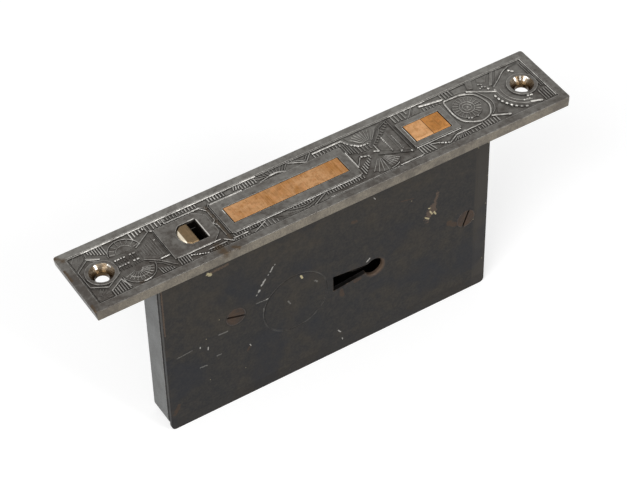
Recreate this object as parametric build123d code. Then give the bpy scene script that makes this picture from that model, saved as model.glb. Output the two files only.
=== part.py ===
"""Mortise lock for a sliding door: a decorated face plate with a flush pull, a thumb release and an
expanding bolt head, on a flat cast case that holds the works. Sizes are in millimetres.

The origin is the centre of the face plate's back, where it seats on the door, halfway between the two
screws. +Z points out of the door's edge, +X along the plate towards the bolt, and -Y towards the cover,
so every flat piece is an outline in X and Z with a thickness in Y."""

import math
import os

from build123d import *

INCH = 25.4

# Face plate
PLATE_LENGTH = 8 * INCH
PLATE_WIDTH = 32.0
PLATE_THICK = 4.3
PLATE_CORNER_R = 1.2
PLATE_EDGE_BREAK = 0.25
PLATE_END_DRAFT = 0.8
PLATE_BORDER = 3.3
FIELD_DEPTH = 0.6
SCREW_FROM_END = 0.4375 * INCH
SCREW_HOLE_R = 2.6
COUNTERSINK_R = 4.75
COUNTERSINK_DEPTH = 2.7
SCREW_RING_WIDTH = 1.25
LUG_DROP = 12.0
LUG_WIDTH = 7.0
LUG_SIDE_ROOM = 3.6

# Raised panels round the windows: how far each stands past its window
THUMB_PANEL_LEFT = 5.6
THUMB_PANEL_RIGHT = 4.3
THUMB_PANEL_SIDE = 3.0
THUMB_PANEL_CORNER = 3.6
PULL_PANEL_END = 3.1
PULL_PANEL_SIDE = 3.8
BOLT_PANEL_LEFT = 1.6
BOLT_PANEL_RIGHT = 2.4
BOLT_PANEL_SIDE = 2.2

# Case and cover
CASE_LENGTH = 143.8
CASE_CENTRE_X = -0.15
CASE_DEPTH = 87.0
CASE_THICK = 13.8
CASE_WALL = 3.1
CASE_LOW_WALL = 4.3
CASE_FLOOR = 1.8
CASE_CORNER_R = 4.2
COVER_THICK = 1.8
COVER_CORNER_R = 2.0
COVER_TOP_GAP = 0.15
COVER_GROOVE = 1.3
COVER_GROOVE_DEPTH = 1.6
COVER_EDGE_BREAK = 0.3
BEVEL_BAND = 5.0
BEVEL_DROP = 0.3
MARK_RING_R = 14.2
MARK_RING_WIDTH = 0.55
MARK_RING_DEPTH = 0.2
MARK_RING_FROM_KEY = 35.4
MARK_RING_Z = -47.8
COVER_POST_R = 4.0
COVER_POST_GAP = 2.5
COVER_SCREW_HEAD_R = 4.2
COVER_SCREW_HEAD_DEPTH = 1.3
COVER_SCREW_R = 1.7
COVER_SCREW_LENGTH = 8.0
COVER_SCREW_SLOT = 0.9
COVER_SCREW_SLOT_DEPTH = 0.7
LOWER_COVER_SCREW_Z = -40.9
UPPER_COVER_SCREW_Z = -46.2
LOWER_SLOT_ANGLE = -17.6
UPPER_SLOT_ANGLE = 70.0

# Keyhole and ward
KEY_TO_BOLT = 27.85
KEY_Z = -49.3
KEYHOLE_R = 4.0
KEYHOLE_RIM = 0.5
KEY_SLOT_REACH = 18.7
KEY_SLOT_NECK = 4.4
KEY_SLOT_MOUTH = 7.8
KEY_SLOT_RISE = 1.2
WARD_R = 9.6
WARD_THICK = 1.2
WARD_HEIGHT = 2.0
WARD_GAP = 8.4

# Pull: brass bar on a stirrup with a guided tail
PULL_X = -14.35
PULL_LENGTH = 48.5
PULL_WIDTH = 8.2
PULL_BAR_DEPTH = 5.0
PULL_TRAVEL = 0.75 * INCH
PULL_SLIDE_THICK = 3.0
PULL_LEG_WIDTH = 6.0
PULL_LEG_INSET = 1.0
PULL_TENON = 3.0
PULL_CROSSBAR_HEIGHT = 7.0
PULL_TAIL_INSET = 3.1
PULL_TAIL_WIDTH = 14.0
PULL_TAIL_END = 4.0
PULL_STUD_DROP = 15.2
NOTCH_DEPTH = 2.2

# Pull spring: a coil between the stirrup and a ledge in the case
PULL_SPRING_OFFSET = 4.35
PULL_SPRING_HEIGHT = 21.0
PULL_SPRING_R = 2.8
PULL_SPRING_WIRE = 0.9
PULL_SPRING_TURNS = 9
SPRING_LEDGE_HALF = 4.5
SPRING_LEDGE_HEIGHT = 4.0

# Release: brass thumb piece on a pivoted lever with a nose beside the pull's tail
THUMB_FROM_END = 15.65
THUMB_LENGTH = 5.9
THUMB_WIDTH = 10.2
THUMB_BULGE = 2.9
THUMB_DEPTH = 3.4
THUMB_TRAVEL = 3.3
THUMB_EDGE_BREAK = 0.5
THUMB_STEM_LENGTH = 4.4
THUMB_STEM_WIDTH = 5.6
THUMB_STEM_DROP = 6.0
RELEASE_PIVOT_Z = -26.7
RELEASE_EYE_R = 5.0
RELEASE_ARM_WIDTH = 5.0
RELEASE_THICK = 3.0
RELEASE_ARM_DROP = 26.0
NOSE_HEIGHT = 3.2
NOSE_GAP = 0.3

# Bolt: plate, two jaws and the post that spreads them
BOLT_FROM_END = 24.6
BOLT_LENGTH = 15.3
BOLT_WIDTH = 9.3
BOLT_TRAVEL = 14.0
JAW_SWING = 7.0
JAW_SPLIT = 0.2
JAW_REACH = 26.0
BARB_HEIGHT = 3.5
BARB_TAPER = 0.4
BARB_STEP = 1.5
BOLT_PLATE_THICK = 3.0
BOLT_PLATE_SHY = 1.0
BOLT_PLATE_NARROW = 0.35
BOLT_WING_RISE = 23.0
BOLT_WING_DROP = 12.0
BOLT_STUD_RISE = 11.0
TALON_REACH = 12.7
TALON_DEPTH = 4.0
TALON_HEIGHT = 9.0
SPREADER_R = 1.6
JAW_PIN_R = 1.5
STUMP_R = 2.0
STUMP_DROP = 3.0

# Tumbler
TUMBLER_THICK = 2.8
TUMBLER_SWING = 5.0
TUMBLER_BELLY_R = 13.2
TUMBLER_BELLY_ANGLE = 38.0
TUMBLER_PIVOT_X = 41.2
TUMBLER_PIVOT_RISE = 10.0
TUMBLER_EYE_R = 4.5
TUMBLER_TOP_RISE = 10.6
TUMBLER_RIGHT_X = 35.7
TUMBLER_FENCE = 2.2
TUMBLER_TAIL_DROP = 7.0

# Leaf springs
LEAF_THICK = 0.6
LEAF_WIDTH = 3.6
LEAF_BEND_R = 3.0
LEAF_ANCHOR_WIDTH = 5.5
LEAF_ANCHOR_HEIGHT = 8.0
LEAF_ANCHOR_RISE = 16.0
LEAF_STRAIGHT = 11.6
LEAF_TOUCH_GAP = 0.3

# Fastenings and clearances
RIVET_R = 1.5
PULL_RIVET_R = 1.0
STUD_R = 2.0
FIXED_GAP = 0.03
RUN_GAP = 0.06
SLOT_GAP = 0.15
SIDE_GAP = 0.3
WINDOW_GAP = 0.4
LAYER_GAP = 0.3
STOP_GAP = 0.5

# Levels and places worked out from the sizes above
plate_face = PLATE_THICK
cutter_top = plate_face + PLATE_EDGE_BREAK
screw_x = PLATE_LENGTH / 2 - SCREW_FROM_END
case_left = CASE_CENTRE_X - CASE_LENGTH / 2
case_right = CASE_CENTRE_X + CASE_LENGTH / 2
case_low = -CASE_DEPTH
case_back = CASE_THICK / 2
cover_face = -CASE_THICK / 2
floor_face = case_back - CASE_FLOOR
cover_back = cover_face + COVER_THICK
inner_left = case_left + CASE_WALL
inner_right = case_right - CASE_WALL
inner_low = case_low + CASE_LOW_WALL

bolt_x = case_right - BOLT_FROM_END
bolt_front = -BOLT_WIDTH / 2
bolt_back = BOLT_WIDTH / 2
bolt_plate_front = bolt_back - BOLT_PLATE_THICK
jaw_half = BOLT_LENGTH / 2
jaw_neck = jaw_half - BARB_TAPER - BARB_STEP
jaw_pivot_z = plate_face - JAW_REACH
jaw_pivot_u = (JAW_SPLIT / 2 + jaw_half - JAW_SPLIT) / 2 - JAW_SPLIT
jaw_eye_r = jaw_pivot_u - JAW_SPLIT / 2
spreader_z = -SPREADER_R - LAYER_GAP - STOP_GAP
jaw_head_low = plate_face - BOLT_TRAVEL
bolt_plate_top = jaw_head_low - BOLT_PLATE_SHY
bolt_plate_half = jaw_half - BOLT_PLATE_NARROW

key_x = bolt_x - KEY_TO_BOLT
talon_z = KEY_Z - BOLT_TRAVEL / 2
talon_edge = key_x + TALON_REACH
talon_root = talon_edge + TALON_DEPTH
bolt_stud_z = talon_z + BOLT_STUD_RISE
stump_x = (talon_root + bolt_x - STUD_R - SLOT_GAP) / 2
stump_z = talon_z - STUMP_DROP

pull_left = PULL_X - PULL_LENGTH / 2
pull_right = PULL_X + PULL_LENGTH / 2
pull_bar_low = plate_face - PULL_BAR_DEPTH
pull_half_thick = PULL_SLIDE_THICK / 2
leg_left = pull_left + PULL_LEG_INSET
leg_right = pull_right - PULL_LEG_INSET
crossbar_top = -PULL_TRAVEL - STOP_GAP
crossbar_low = crossbar_top - PULL_CROSSBAR_HEIGHT
tail_left = pull_left + PULL_TAIL_INSET
tail_x = tail_left + PULL_TAIL_WIDTH / 2
pull_stud_z = crossbar_low - PULL_STUD_DROP
tail_low = pull_stud_z - PULL_TRAVEL - STUD_R - SLOT_GAP - PULL_TAIL_END
pull_spring_x = PULL_X + PULL_SPRING_OFFSET
spring_ledge_top = crossbar_low - PULL_SPRING_HEIGHT

thumb_x = case_left + THUMB_FROM_END
thumb_left = thumb_x - THUMB_LENGTH / 2
thumb_right = thumb_x + THUMB_LENGTH / 2
stem_left = thumb_x - THUMB_STEM_LENGTH / 2
thumb_low = plate_face - THUMB_DEPTH
stem_low = thumb_low - THUMB_STEM_DROP
release_half_thick = RELEASE_THICK / 2
release_arm_left = thumb_x - RELEASE_ARM_WIDTH / 2
release_top = thumb_low - STOP_GAP
nose_z = RELEASE_PIVOT_Z - RELEASE_ARM_DROP
nose_tip = tail_left - NOSE_GAP

tumbler_back = bolt_plate_front - LAYER_GAP
tumbler_front = tumbler_back - TUMBLER_THICK
tumbler_x = key_x + TUMBLER_PIVOT_X
tumbler_z = inner_low + TUMBLER_PIVOT_RISE
tumbler_right = key_x + TUMBLER_RIGHT_X
tumbler_top = KEY_Z + TUMBLER_TOP_RISE
tumbler_anchor_top = tumbler_top + LEAF_ANCHOR_RISE

cover_screws_at = [
    (tail_left - COVER_POST_GAP - COVER_POST_R, LOWER_COVER_SCREW_Z, LOWER_SLOT_ANGLE),
    ((bolt_x + bolt_plate_half + inner_right) / 2, UPPER_COVER_SCREW_Z, UPPER_SLOT_ANGLE),
]
thumb_window = (thumb_left - WINDOW_GAP, thumb_right + THUMB_TRAVEL + WINDOW_GAP)
pull_window = (pull_left - WINDOW_GAP, pull_right + WINDOW_GAP)
bolt_window = (bolt_x - jaw_half - STOP_GAP, bolt_x + jaw_half + STOP_GAP)
thumb_window_half = THUMB_WIDTH / 2 + SIDE_GAP
pull_window_half = PULL_WIDTH / 2 + SIDE_GAP
bolt_window_half = BOLT_WIDTH / 2 + SIDE_GAP
lug_places = [
    (inner_left + SIDE_GAP, release_arm_left - LUG_SIDE_ROOM),
    ((pull_window[1] + bolt_window[0] - LUG_WIDTH) / 2, (pull_window[1] + bolt_window[0] + LUG_WIDTH) / 2),
    (bolt_x + jaw_half + LUG_SIDE_ROOM + LUG_WIDTH / 2, inner_right - SIDE_GAP),
]
lug_rivet_z = -LUG_DROP / 2


# Outlines in X and Z, and the flat pieces cut from them

def rect(left, right, low, high):
    """Rectangle between two places along and two levels."""
    return Pos((left + right) / 2, (low + high) / 2) * Rectangle(right - left, high - low)


def disc(x, z, radius):
    """Round outline."""
    return Pos(x, z) * Circle(radius)


def slot(x, low, high, radius):
    """Upright slot whose end centres are at low and high."""
    return disc(x, low, radius) + disc(x, high, radius) + rect(x - radius, x + radius, low, high)


def shape(*points):
    """Straight-sided outline."""
    return make_face(Polyline(*points, close=True))


def slab(outline, near, far):
    """Flat piece with an outline in X and Z, between two levels in Y."""
    return extrude(Plane.XZ.offset(-far) * outline, amount=far - near)


def pin(x, z, radius, near, far):
    """Round pin along Y."""
    return slab(disc(x, z, radius), near, far)


def upright(outline, low, high):
    """Piece with an outline in X and Y, between two levels in Z."""
    return extrude(Plane.XY.offset(low) * outline, amount=high - low)


def plan(left, right, half):
    """Rectangle in X and Y, centred on the plate's length line."""
    return Pos((left + right) / 2, 0) * Rectangle(right - left, 2 * half)


# Keyhole

def keyhole():
    """Round hole with a flared slot for the key's bit, towards the pull."""
    slot_z = KEY_Z + KEY_SLOT_RISE
    neck = KEY_SLOT_NECK / 2
    mouth = KEY_SLOT_MOUTH / 2
    end_x = key_x - KEY_SLOT_REACH
    flare = shape(
        (key_x, slot_z - neck),
        (key_x, slot_z + neck),
        (key_x - KEYHOLE_R, slot_z + neck),
        (end_x, slot_z + mouth),
        (end_x, slot_z - mouth),
        (key_x - KEYHOLE_R, slot_z - neck),
    )
    return disc(key_x, KEY_Z, KEYHOLE_R) + flare


# Face plate

def thumb_outline(gap, travel):
    """Plan of the thumb piece: straight sides, a square end, and a round end away from the pull."""
    half = THUMB_WIDTH / 2
    radius = (half ** 2 + THUMB_BULGE ** 2) / (2 * THUMB_BULGE)
    centre = thumb_left + radius
    side = half + gap
    shoulder = centre - math.sqrt((radius + gap) ** 2 - side ** 2)
    right = thumb_right + travel
    edges = Polyline((shoulder, side), (right, side), (right, -side), (shoulder, -side))
    edges += ThreePointArc((shoulder, -side), (thumb_left - gap, 0), (shoulder, side))
    return make_face(edges)


def thumb_panel():
    """Raised panel round the thumb window, its corners cut off at the pull's end."""
    left = thumb_window[0] - THUMB_PANEL_LEFT
    right = thumb_window[1] + THUMB_PANEL_RIGHT
    half = thumb_window_half + THUMB_PANEL_SIDE
    cut = THUMB_PANEL_CORNER
    return shape((left, -half), (right - cut, -half), (right, cut - half), (right, half - cut), (right - cut, half),
                 (left, half))


def face_plate():
    """Plate with its sunk field, panels, windows, screw holes and the lugs that the case is riveted to."""
    plate = upright(RectangleRounded(PLATE_LENGTH, PLATE_WIDTH, PLATE_CORNER_R), 0, plate_face)
    plate = chamfer(plate.faces().sort_by(Axis.Z)[-1].edges(), PLATE_EDGE_BREAK)
    for end in (-PLATE_LENGTH / 2, PLATE_LENGTH / 2):
        draft = math.copysign(PLATE_END_DRAFT, end)
        wedge = shape((end, plate_face - PLATE_EDGE_BREAK), (end, 0), (end - draft, 0))
        plate -= slab(wedge, -PLATE_WIDTH / 2, PLATE_WIDTH / 2)
    field = Rectangle(PLATE_LENGTH - 2 * PLATE_BORDER, PLATE_WIDTH - 2 * PLATE_BORDER)
    field -= thumb_panel()
    field -= plan(pull_window[0] - PULL_PANEL_END, pull_window[1] + PULL_PANEL_END,
                  pull_window_half + PULL_PANEL_SIDE)
    field -= plan(bolt_window[0] - BOLT_PANEL_LEFT, bolt_window[1] + BOLT_PANEL_RIGHT,
                  bolt_window_half + BOLT_PANEL_SIDE)
    for x in (-screw_x, screw_x):
        field -= disc(x, 0, COUNTERSINK_R + SCREW_RING_WIDTH)
    plate -= upright(field, plate_face - FIELD_DEPTH, cutter_top)

    windows = thumb_outline(SIDE_GAP, THUMB_TRAVEL + WINDOW_GAP) + plan(*pull_window, pull_window_half)
    windows += plan(*bolt_window, bolt_window_half)
    plate -= upright(windows, -STOP_GAP, cutter_top)
    for x in (-screw_x, screw_x):
        plate -= upright(disc(x, 0, SCREW_HOLE_R), -STOP_GAP, cutter_top)
        sink = Cone(SCREW_HOLE_R, COUNTERSINK_R, COUNTERSINK_DEPTH)
        plate -= Pos(x, 0, plate_face - COUNTERSINK_DEPTH / 2) * sink

    for left, right in lug_places:
        lug = slab(rect(left, right, -LUG_DROP, 0), cover_back + SIDE_GAP, floor_face)
        hole = pin((left + right) / 2, lug_rivet_z, RIVET_R + FIXED_GAP, cover_back, floor_face + STOP_GAP)
        plate += lug
        plate -= hole
    return plate


def plate_rivets():
    """Countersunk rivets through the case's floor into the plate's lugs."""
    rivets = []
    for left, right in lug_places:
        x = (left + right) / 2
        shank = pin(x, lug_rivet_z, RIVET_R, cover_back + SIDE_GAP, case_back)
        rivets.append(shank)
    return rivets


# Case

def tray_outline(side, under):
    """Outline of the tray, drawn in at its ends and at its far edge, with its two far corners rounded."""
    left = case_left + side
    right = case_right - side
    low = case_low + under
    radius = max(CASE_CORNER_R - side, LEAF_THICK)
    edges = Polyline((left, low + radius), (left, 0), (right, 0), (right, low + radius))
    edges += RadiusArc((right, low + radius), (right - radius, low), radius)
    edges += Line((right - radius, low), (left + radius, low))
    edges += RadiusArc((left + radius, low), (left, low + radius), radius)
    return make_face(edges)


def stud_places():
    """Centre and radius of every stud riveted through the case's floor."""
    return {
        "pull_guide_stud": (tail_x, pull_stud_z, STUD_R),
        "release_pivot_stud": (thumb_x, RELEASE_PIVOT_Z, STUD_R),
        "bolt_guide_stud": (bolt_x, bolt_stud_z, STUD_R),
        "spreader_post": (bolt_x, spreader_z, SPREADER_R),
        "tumbler_pivot_stud": (tumbler_x, tumbler_z, STUD_R),
    }


def stud_front(name):
    """Level in Y that each stud reaches."""
    return {
        "pull_guide_stud": -pull_half_thick - LAYER_GAP,
        "release_pivot_stud": -release_half_thick - LAYER_GAP,
        "bolt_guide_stud": bolt_plate_front,
        "spreader_post": bolt_front,
        "tumbler_pivot_stud": tumbler_front - LAYER_GAP,
    }[name]


def release_anchor():
    """Block in the far corner that grips the release spring."""
    return rect(inner_left, inner_left + LEAF_ANCHOR_WIDTH, inner_low, inner_low + LEAF_ANCHOR_HEIGHT)


def tumbler_anchor():
    """Block on the end wall that grips the tumbler spring."""
    return rect(inner_right - LEAF_ANCHOR_WIDTH, inner_right, tumbler_anchor_top - LEAF_ANCHOR_HEIGHT,
                tumbler_anchor_top)


def case_shell():
    """Cast tray: floor, walls, screw posts, spring ledge and spring anchors."""
    shell = slab(tray_outline(0, 0), cover_back, case_back)
    shell -= slab(tray_outline(CASE_WALL, CASE_LOW_WALL), cover_back, floor_face)
    groove = tray_outline(0, 0) - tray_outline(COVER_GROOVE_DEPTH, COVER_GROOVE_DEPTH)
    shell -= slab(groove, cover_back, cover_back + COVER_GROOVE)
    for x, z, _ in cover_screws_at:
        shell += pin(x, z, COVER_POST_R, cover_back, floor_face)
        tip = cover_face + COVER_SCREW_LENGTH + SIDE_GAP
        shell -= pin(x, z, COVER_SCREW_R + FIXED_GAP, cover_back, tip)

    ledge = rect(pull_spring_x - SPRING_LEDGE_HALF, pull_spring_x + SPRING_LEDGE_HALF,
                 spring_ledge_top - SPRING_LEDGE_HEIGHT, spring_ledge_top)
    shell += slab(ledge, -PULL_SPRING_R - PULL_SPRING_WIRE, floor_face)
    for anchor, leaf in ((release_anchor(), release_leaf()), (tumbler_anchor(), tumbler_leaf())):
        block = slab(anchor, -LEAF_WIDTH / 2, floor_face)
        shell += block - slab(trace(leaf, LEAF_THICK + 2 * FIXED_GAP), -LEAF_WIDTH / 2, LEAF_WIDTH / 2)

    shell -= slab(keyhole(), floor_face, case_back)
    for x, z, radius in stud_places().values():
        shell -= pin(x, z, radius + FIXED_GAP, floor_face, case_back)
    for left, right in lug_places:
        shell -= pin((left + right) / 2, lug_rivet_z, RIVET_R + FIXED_GAP, floor_face, case_back)
    return shell


def stud(name):
    """Plain stud, its end riveted flush with the case's back."""
    x, z, radius = stud_places()[name]
    return pin(x, z, radius, stud_front(name), case_back)


def key_ward():
    """Ring on the floor round the keyhole, open where the bit goes in."""
    ring = disc(key_x, KEY_Z, WARD_R) - disc(key_x, KEY_Z, WARD_R - WARD_THICK)
    slot_z = KEY_Z + KEY_SLOT_RISE
    ring -= rect(key_x - 2 * WARD_R, key_x, slot_z - WARD_GAP / 2, slot_z + WARD_GAP / 2)
    return slab(ring, floor_face - WARD_HEIGHT, floor_face)


# Cover

def cover_outline():
    """Cover's outline, its two far corners rounded."""
    left, right, high = case_left, case_right, -COVER_TOP_GAP
    radius = COVER_CORNER_R
    edges = Polyline((left, case_low + radius), (left, high), (right, high), (right, case_low + radius))
    edges += RadiusArc((right, case_low + radius), (right - radius, case_low), radius)
    edges += Line((right - radius, case_low), (left + radius, case_low))
    edges += RadiusArc((left + radius, case_low), (left, case_low + radius), radius)
    return make_face(edges)


def cover_plate():
    """Flat cover with softened edges, a shallow band along two sides, a keyhole and a plain round mark."""
    cover = slab(cover_outline(), cover_face, cover_back)
    cover = chamfer(cover.faces().sort_by(Axis.Y)[0].edges(), COVER_EDGE_BREAK)
    reach = BEVEL_BAND + COVER_EDGE_BREAK
    drop = BEVEL_DROP * reach / BEVEL_BAND
    end_band = shape((case_right - BEVEL_BAND, cover_face), (case_right + COVER_EDGE_BREAK, cover_face),
                     (case_right + COVER_EDGE_BREAK, cover_face + drop))
    cover -= extrude(Plane.XY.offset(case_low) * end_band, amount=CASE_DEPTH)
    low_band = shape((cover_face, case_low + BEVEL_BAND), (cover_face, case_low - COVER_EDGE_BREAK),
                     (cover_face + drop, case_low - COVER_EDGE_BREAK))
    cover -= extrude(Plane.YZ.offset(case_left) * low_band, amount=CASE_LENGTH)

    cover -= slab(keyhole(), cover_face, cover_back)
    rim = Plane.XZ.offset(-cover_face) * disc(key_x, KEY_Z, KEYHOLE_R + KEYHOLE_RIM)
    foot = Plane.XZ.offset(-cover_face - KEYHOLE_RIM) * disc(key_x, KEY_Z, KEYHOLE_R)
    cover -= loft([rim.face(), foot.face()])
    mark_x = key_x - MARK_RING_FROM_KEY
    mark = disc(mark_x, MARK_RING_Z, MARK_RING_R) - disc(mark_x, MARK_RING_Z, MARK_RING_R - MARK_RING_WIDTH)
    cover -= slab(mark, cover_face, cover_face + MARK_RING_DEPTH)
    for x, z, _ in cover_screws_at:
        cover -= pin(x, z, COVER_SCREW_R + FIXED_GAP, cover_face, cover_back)
        cover -= screw_head(x, z, FIXED_GAP)
    return cover


def screw_head(x, z, gap):
    """Countersunk head, flush with the cover."""
    top = Plane.XZ.offset(-cover_face) * disc(x, z, COVER_SCREW_HEAD_R + gap)
    foot = Plane.XZ.offset(-cover_face - COVER_SCREW_HEAD_DEPTH) * disc(x, z, COVER_SCREW_R + gap)
    return loft([top.face(), foot.face()])


def cover_screws():
    """Two slotted screws that hold the cover on its posts."""
    screws = []
    for x, z, angle in cover_screws_at:
        screw = screw_head(x, z, 0) + pin(x, z, COVER_SCREW_R, cover_face, cover_face + COVER_SCREW_LENGTH)
        cut = Pos(x, z) * Rot(0, 0, angle) * Rectangle(3 * COVER_SCREW_HEAD_R, COVER_SCREW_SLOT)
        screws.append(screw - slab(cut, cover_face, cover_face + COVER_SCREW_SLOT_DEPTH))
    return screws


# Pull

def pull_bar():
    """Brass bar, flush with the plate when it is in, with a mortise for each leg."""
    bar = upright(plan(pull_left, pull_right, PULL_WIDTH / 2), pull_bar_low, plate_face)
    for left, right in leg_places():
        mortise = rect(left - FIXED_GAP, right + FIXED_GAP, pull_bar_low, pull_bar_low + PULL_TENON)
        bar -= slab(mortise, -pull_half_thick - FIXED_GAP, pull_half_thick + FIXED_GAP)
        bar -= pin((left + right) / 2, pull_rivet_z(), PULL_RIVET_R + FIXED_GAP, -PULL_WIDTH, PULL_WIDTH)
    return bar


def leg_places():
    """The two legs' edges along the bar."""
    return [(leg_left, leg_left + PULL_LEG_WIDTH), (leg_right - PULL_LEG_WIDTH, leg_right)]


def pull_rivet_z():
    """Level of the rivets, half way up the tenons."""
    return pull_bar_low + PULL_TENON / 2


def pull_slide():
    """Stirrup: two legs, a cross bar that stops under the plate, and a slotted, notched tail."""
    tenon_top = pull_bar_low + PULL_TENON - FIXED_GAP
    outline = rect(leg_left, leg_right, crossbar_low, crossbar_top)
    for left, right in leg_places():
        outline += rect(left, right, crossbar_top, tenon_top)
        outline -= disc((left + right) / 2, pull_rivet_z(), PULL_RIVET_R + FIXED_GAP)
    outline += rect(tail_left, tail_left + PULL_TAIL_WIDTH, tail_low, crossbar_low)
    outline -= slot(tail_x, pull_stud_z - PULL_TRAVEL, pull_stud_z, STUD_R + SLOT_GAP)
    outline -= rect(tail_left, tail_left + NOTCH_DEPTH, nose_z - NOSE_HEIGHT / 2 - STOP_GAP,
                    nose_z + NOSE_HEIGHT / 2 + STOP_GAP)
    return slab(outline, -pull_half_thick, pull_half_thick)


def pull_rivets():
    """Rivets through the bar and the tenons."""
    return [pin((left + right) / 2, pull_rivet_z(), PULL_RIVET_R, -PULL_WIDTH / 2, PULL_WIDTH / 2)
            for left, right in leg_places()]


def pull_spring():
    """Coil spring under the cross bar, pressed short while the pull is in."""
    wire_r = PULL_SPRING_WIRE / 2
    rise = PULL_SPRING_HEIGHT - PULL_SPRING_WIRE - 2 * FIXED_GAP
    pitch = rise / PULL_SPRING_TURNS
    coil = Pos(pull_spring_x, 0, spring_ledge_top + wire_r + FIXED_GAP) * Helix(pitch, rise, PULL_SPRING_R)
    print("pull spring, gap between turns:", round(pitch - PULL_SPRING_WIRE, 2))
    section = Plane(origin=coil @ 0, z_dir=coil % 0) * Circle(wire_r)
    return sweep(section, path=coil)


# Release

def thumb_piece():
    """Brass thumb piece: cap in the window, stem slotted over the lever."""
    cap = upright(thumb_outline(0, 0), thumb_low, plate_face)
    cap = chamfer(cap.faces().sort_by(Axis.Z)[-1].edges(), THUMB_EDGE_BREAK)
    stem = upright(plan(stem_left, stem_left + THUMB_STEM_LENGTH, THUMB_STEM_WIDTH / 2), stem_low, thumb_low)
    tongue = rect(stem_left, stem_left + THUMB_STEM_LENGTH, stem_low, release_top + FIXED_GAP)
    piece = cap + stem - slab(tongue, -release_half_thick - FIXED_GAP, release_half_thick + FIXED_GAP)
    return piece - pin(thumb_x, thumb_pin_z(), PULL_RIVET_R + FIXED_GAP, -THUMB_STEM_WIDTH, THUMB_STEM_WIDTH)


def thumb_pin_z():
    """Level of the pin through the stem."""
    return (stem_low + release_top) / 2


def thumb_piece_pin():
    """Pin that holds the thumb piece on the lever."""
    return pin(thumb_x, thumb_pin_z(), PULL_RIVET_R, -THUMB_STEM_WIDTH / 2, THUMB_STEM_WIDTH / 2)


def release_lever():
    """Lever on its pivot: arm up to the thumb piece, arm down to the nose beside the pull's tail."""
    arm_right = release_arm_left + RELEASE_ARM_WIDTH
    outline = rect(release_arm_left, arm_right, nose_z - NOSE_HEIGHT / 2, stem_low)
    tongue_left = stem_left + FIXED_GAP
    tongue_right = stem_left + THUMB_STEM_LENGTH - FIXED_GAP
    outline += rect(tongue_left, tongue_right, stem_low, release_top)
    outline += disc(thumb_x, RELEASE_PIVOT_Z, RELEASE_EYE_R)
    outline += rect(arm_right, nose_tip, nose_z - NOSE_HEIGHT / 2, nose_z + NOSE_HEIGHT / 2)
    outline += shape((arm_right, nose_z + NOSE_HEIGHT / 2), (arm_right + RELEASE_ARM_WIDTH, nose_z + NOSE_HEIGHT / 2),
                     (arm_right, nose_z + NOSE_HEIGHT / 2 + RELEASE_ARM_WIDTH))
    outline -= disc(thumb_x, RELEASE_PIVOT_Z, STUD_R + RUN_GAP)
    outline -= disc(thumb_x, thumb_pin_z(), PULL_RIVET_R + FIXED_GAP)
    return slab(outline, -release_half_thick, release_half_thick)


def release_leaf():
    """Centre line of the release spring, from its anchor to the lever's lower arm."""
    foot_x = inner_left + LEAF_ANCHOR_WIDTH / 2
    touch_x = release_arm_left - LEAF_TOUCH_GAP - LEAF_THICK / 2
    return FilletPolyline(
        (foot_x, inner_low + LEAF_THICK),
        (foot_x, inner_low + LEAF_STRAIGHT),
        (touch_x, nose_z - NOSE_HEIGHT / 2),
        (touch_x, nose_z + 2 * NOSE_HEIGHT),
        radius=LEAF_BEND_R,
    )


def leaf_spring(line):
    """Flat spring bent along a line."""
    return slab(trace(line, LEAF_THICK), -LEAF_WIDTH / 2, LEAF_WIDTH / 2)


# Bolt

def bolt_plate():
    """Sliding plate: fork round the spreader post, pivots for the jaws, and a wing with the key's talon."""
    left, right = bolt_x - bolt_plate_half, bolt_x + bolt_plate_half
    wing_low = talon_z - BOLT_WING_DROP
    outline = rect(left, right, wing_low, bolt_plate_top)
    outline += rect(talon_edge, left, wing_low, talon_z + BOLT_WING_RISE)
    outline -= rect(talon_edge, talon_root, talon_z - TALON_HEIGHT / 2, talon_z + TALON_HEIGHT / 2)
    fork = SPREADER_R + SIDE_GAP
    outline -= slot(bolt_x, spreader_z - BOLT_TRAVEL, bolt_plate_top + fork, fork)
    outline -= slot(bolt_x, bolt_stud_z - BOLT_TRAVEL, bolt_stud_z, STUD_R + SLOT_GAP)
    outline -= disc(stump_x, stump_z, STUMP_R + FIXED_GAP)
    for side in (-1, 1):
        outline -= disc(bolt_x + side * jaw_pivot_u, jaw_pivot_z, JAW_PIN_R + FIXED_GAP)
    return slab(outline, bolt_plate_front, bolt_back)


def bolt_stump():
    """Stud on the bolt plate that stands in the tumbler's window."""
    return pin(stump_x, stump_z, STUMP_R, tumbler_front - LAYER_GAP, bolt_back)


def jaw_pins():
    """Pivots of the two jaws, riveted into the bolt plate."""
    return [pin(bolt_x + side * jaw_pivot_u, jaw_pivot_z, JAW_PIN_R, bolt_front, bolt_back) for side in (-1, 1)]


def spreader_pocket():
    """Room in a jaw for the fixed post, which drives the jaw outwards evenly as the bolt comes out."""
    room = SPREADER_R + SIDE_GAP
    track = []
    steps = 4
    for step in range(steps + 1):
        out = BOLT_TRAVEL * step / steps
        swing = math.radians(JAW_SWING) * step / steps
        across = -jaw_pivot_u
        up = spreader_z - jaw_pivot_z - out
        track.append((jaw_pivot_u + across * math.cos(swing) - up * math.sin(swing),
                      jaw_pivot_z + across * math.sin(swing) + up * math.cos(swing)))
    wall = [(u + room, z) for u, z in track]
    edges = Spline(*wall)
    edges += Polyline(wall[-1], (-jaw_half, wall[-1][1]), (-jaw_half, wall[0][1]), wall[0])
    return make_face(edges) + disc(*track[0], room) + disc(*track[-1], room)


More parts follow.
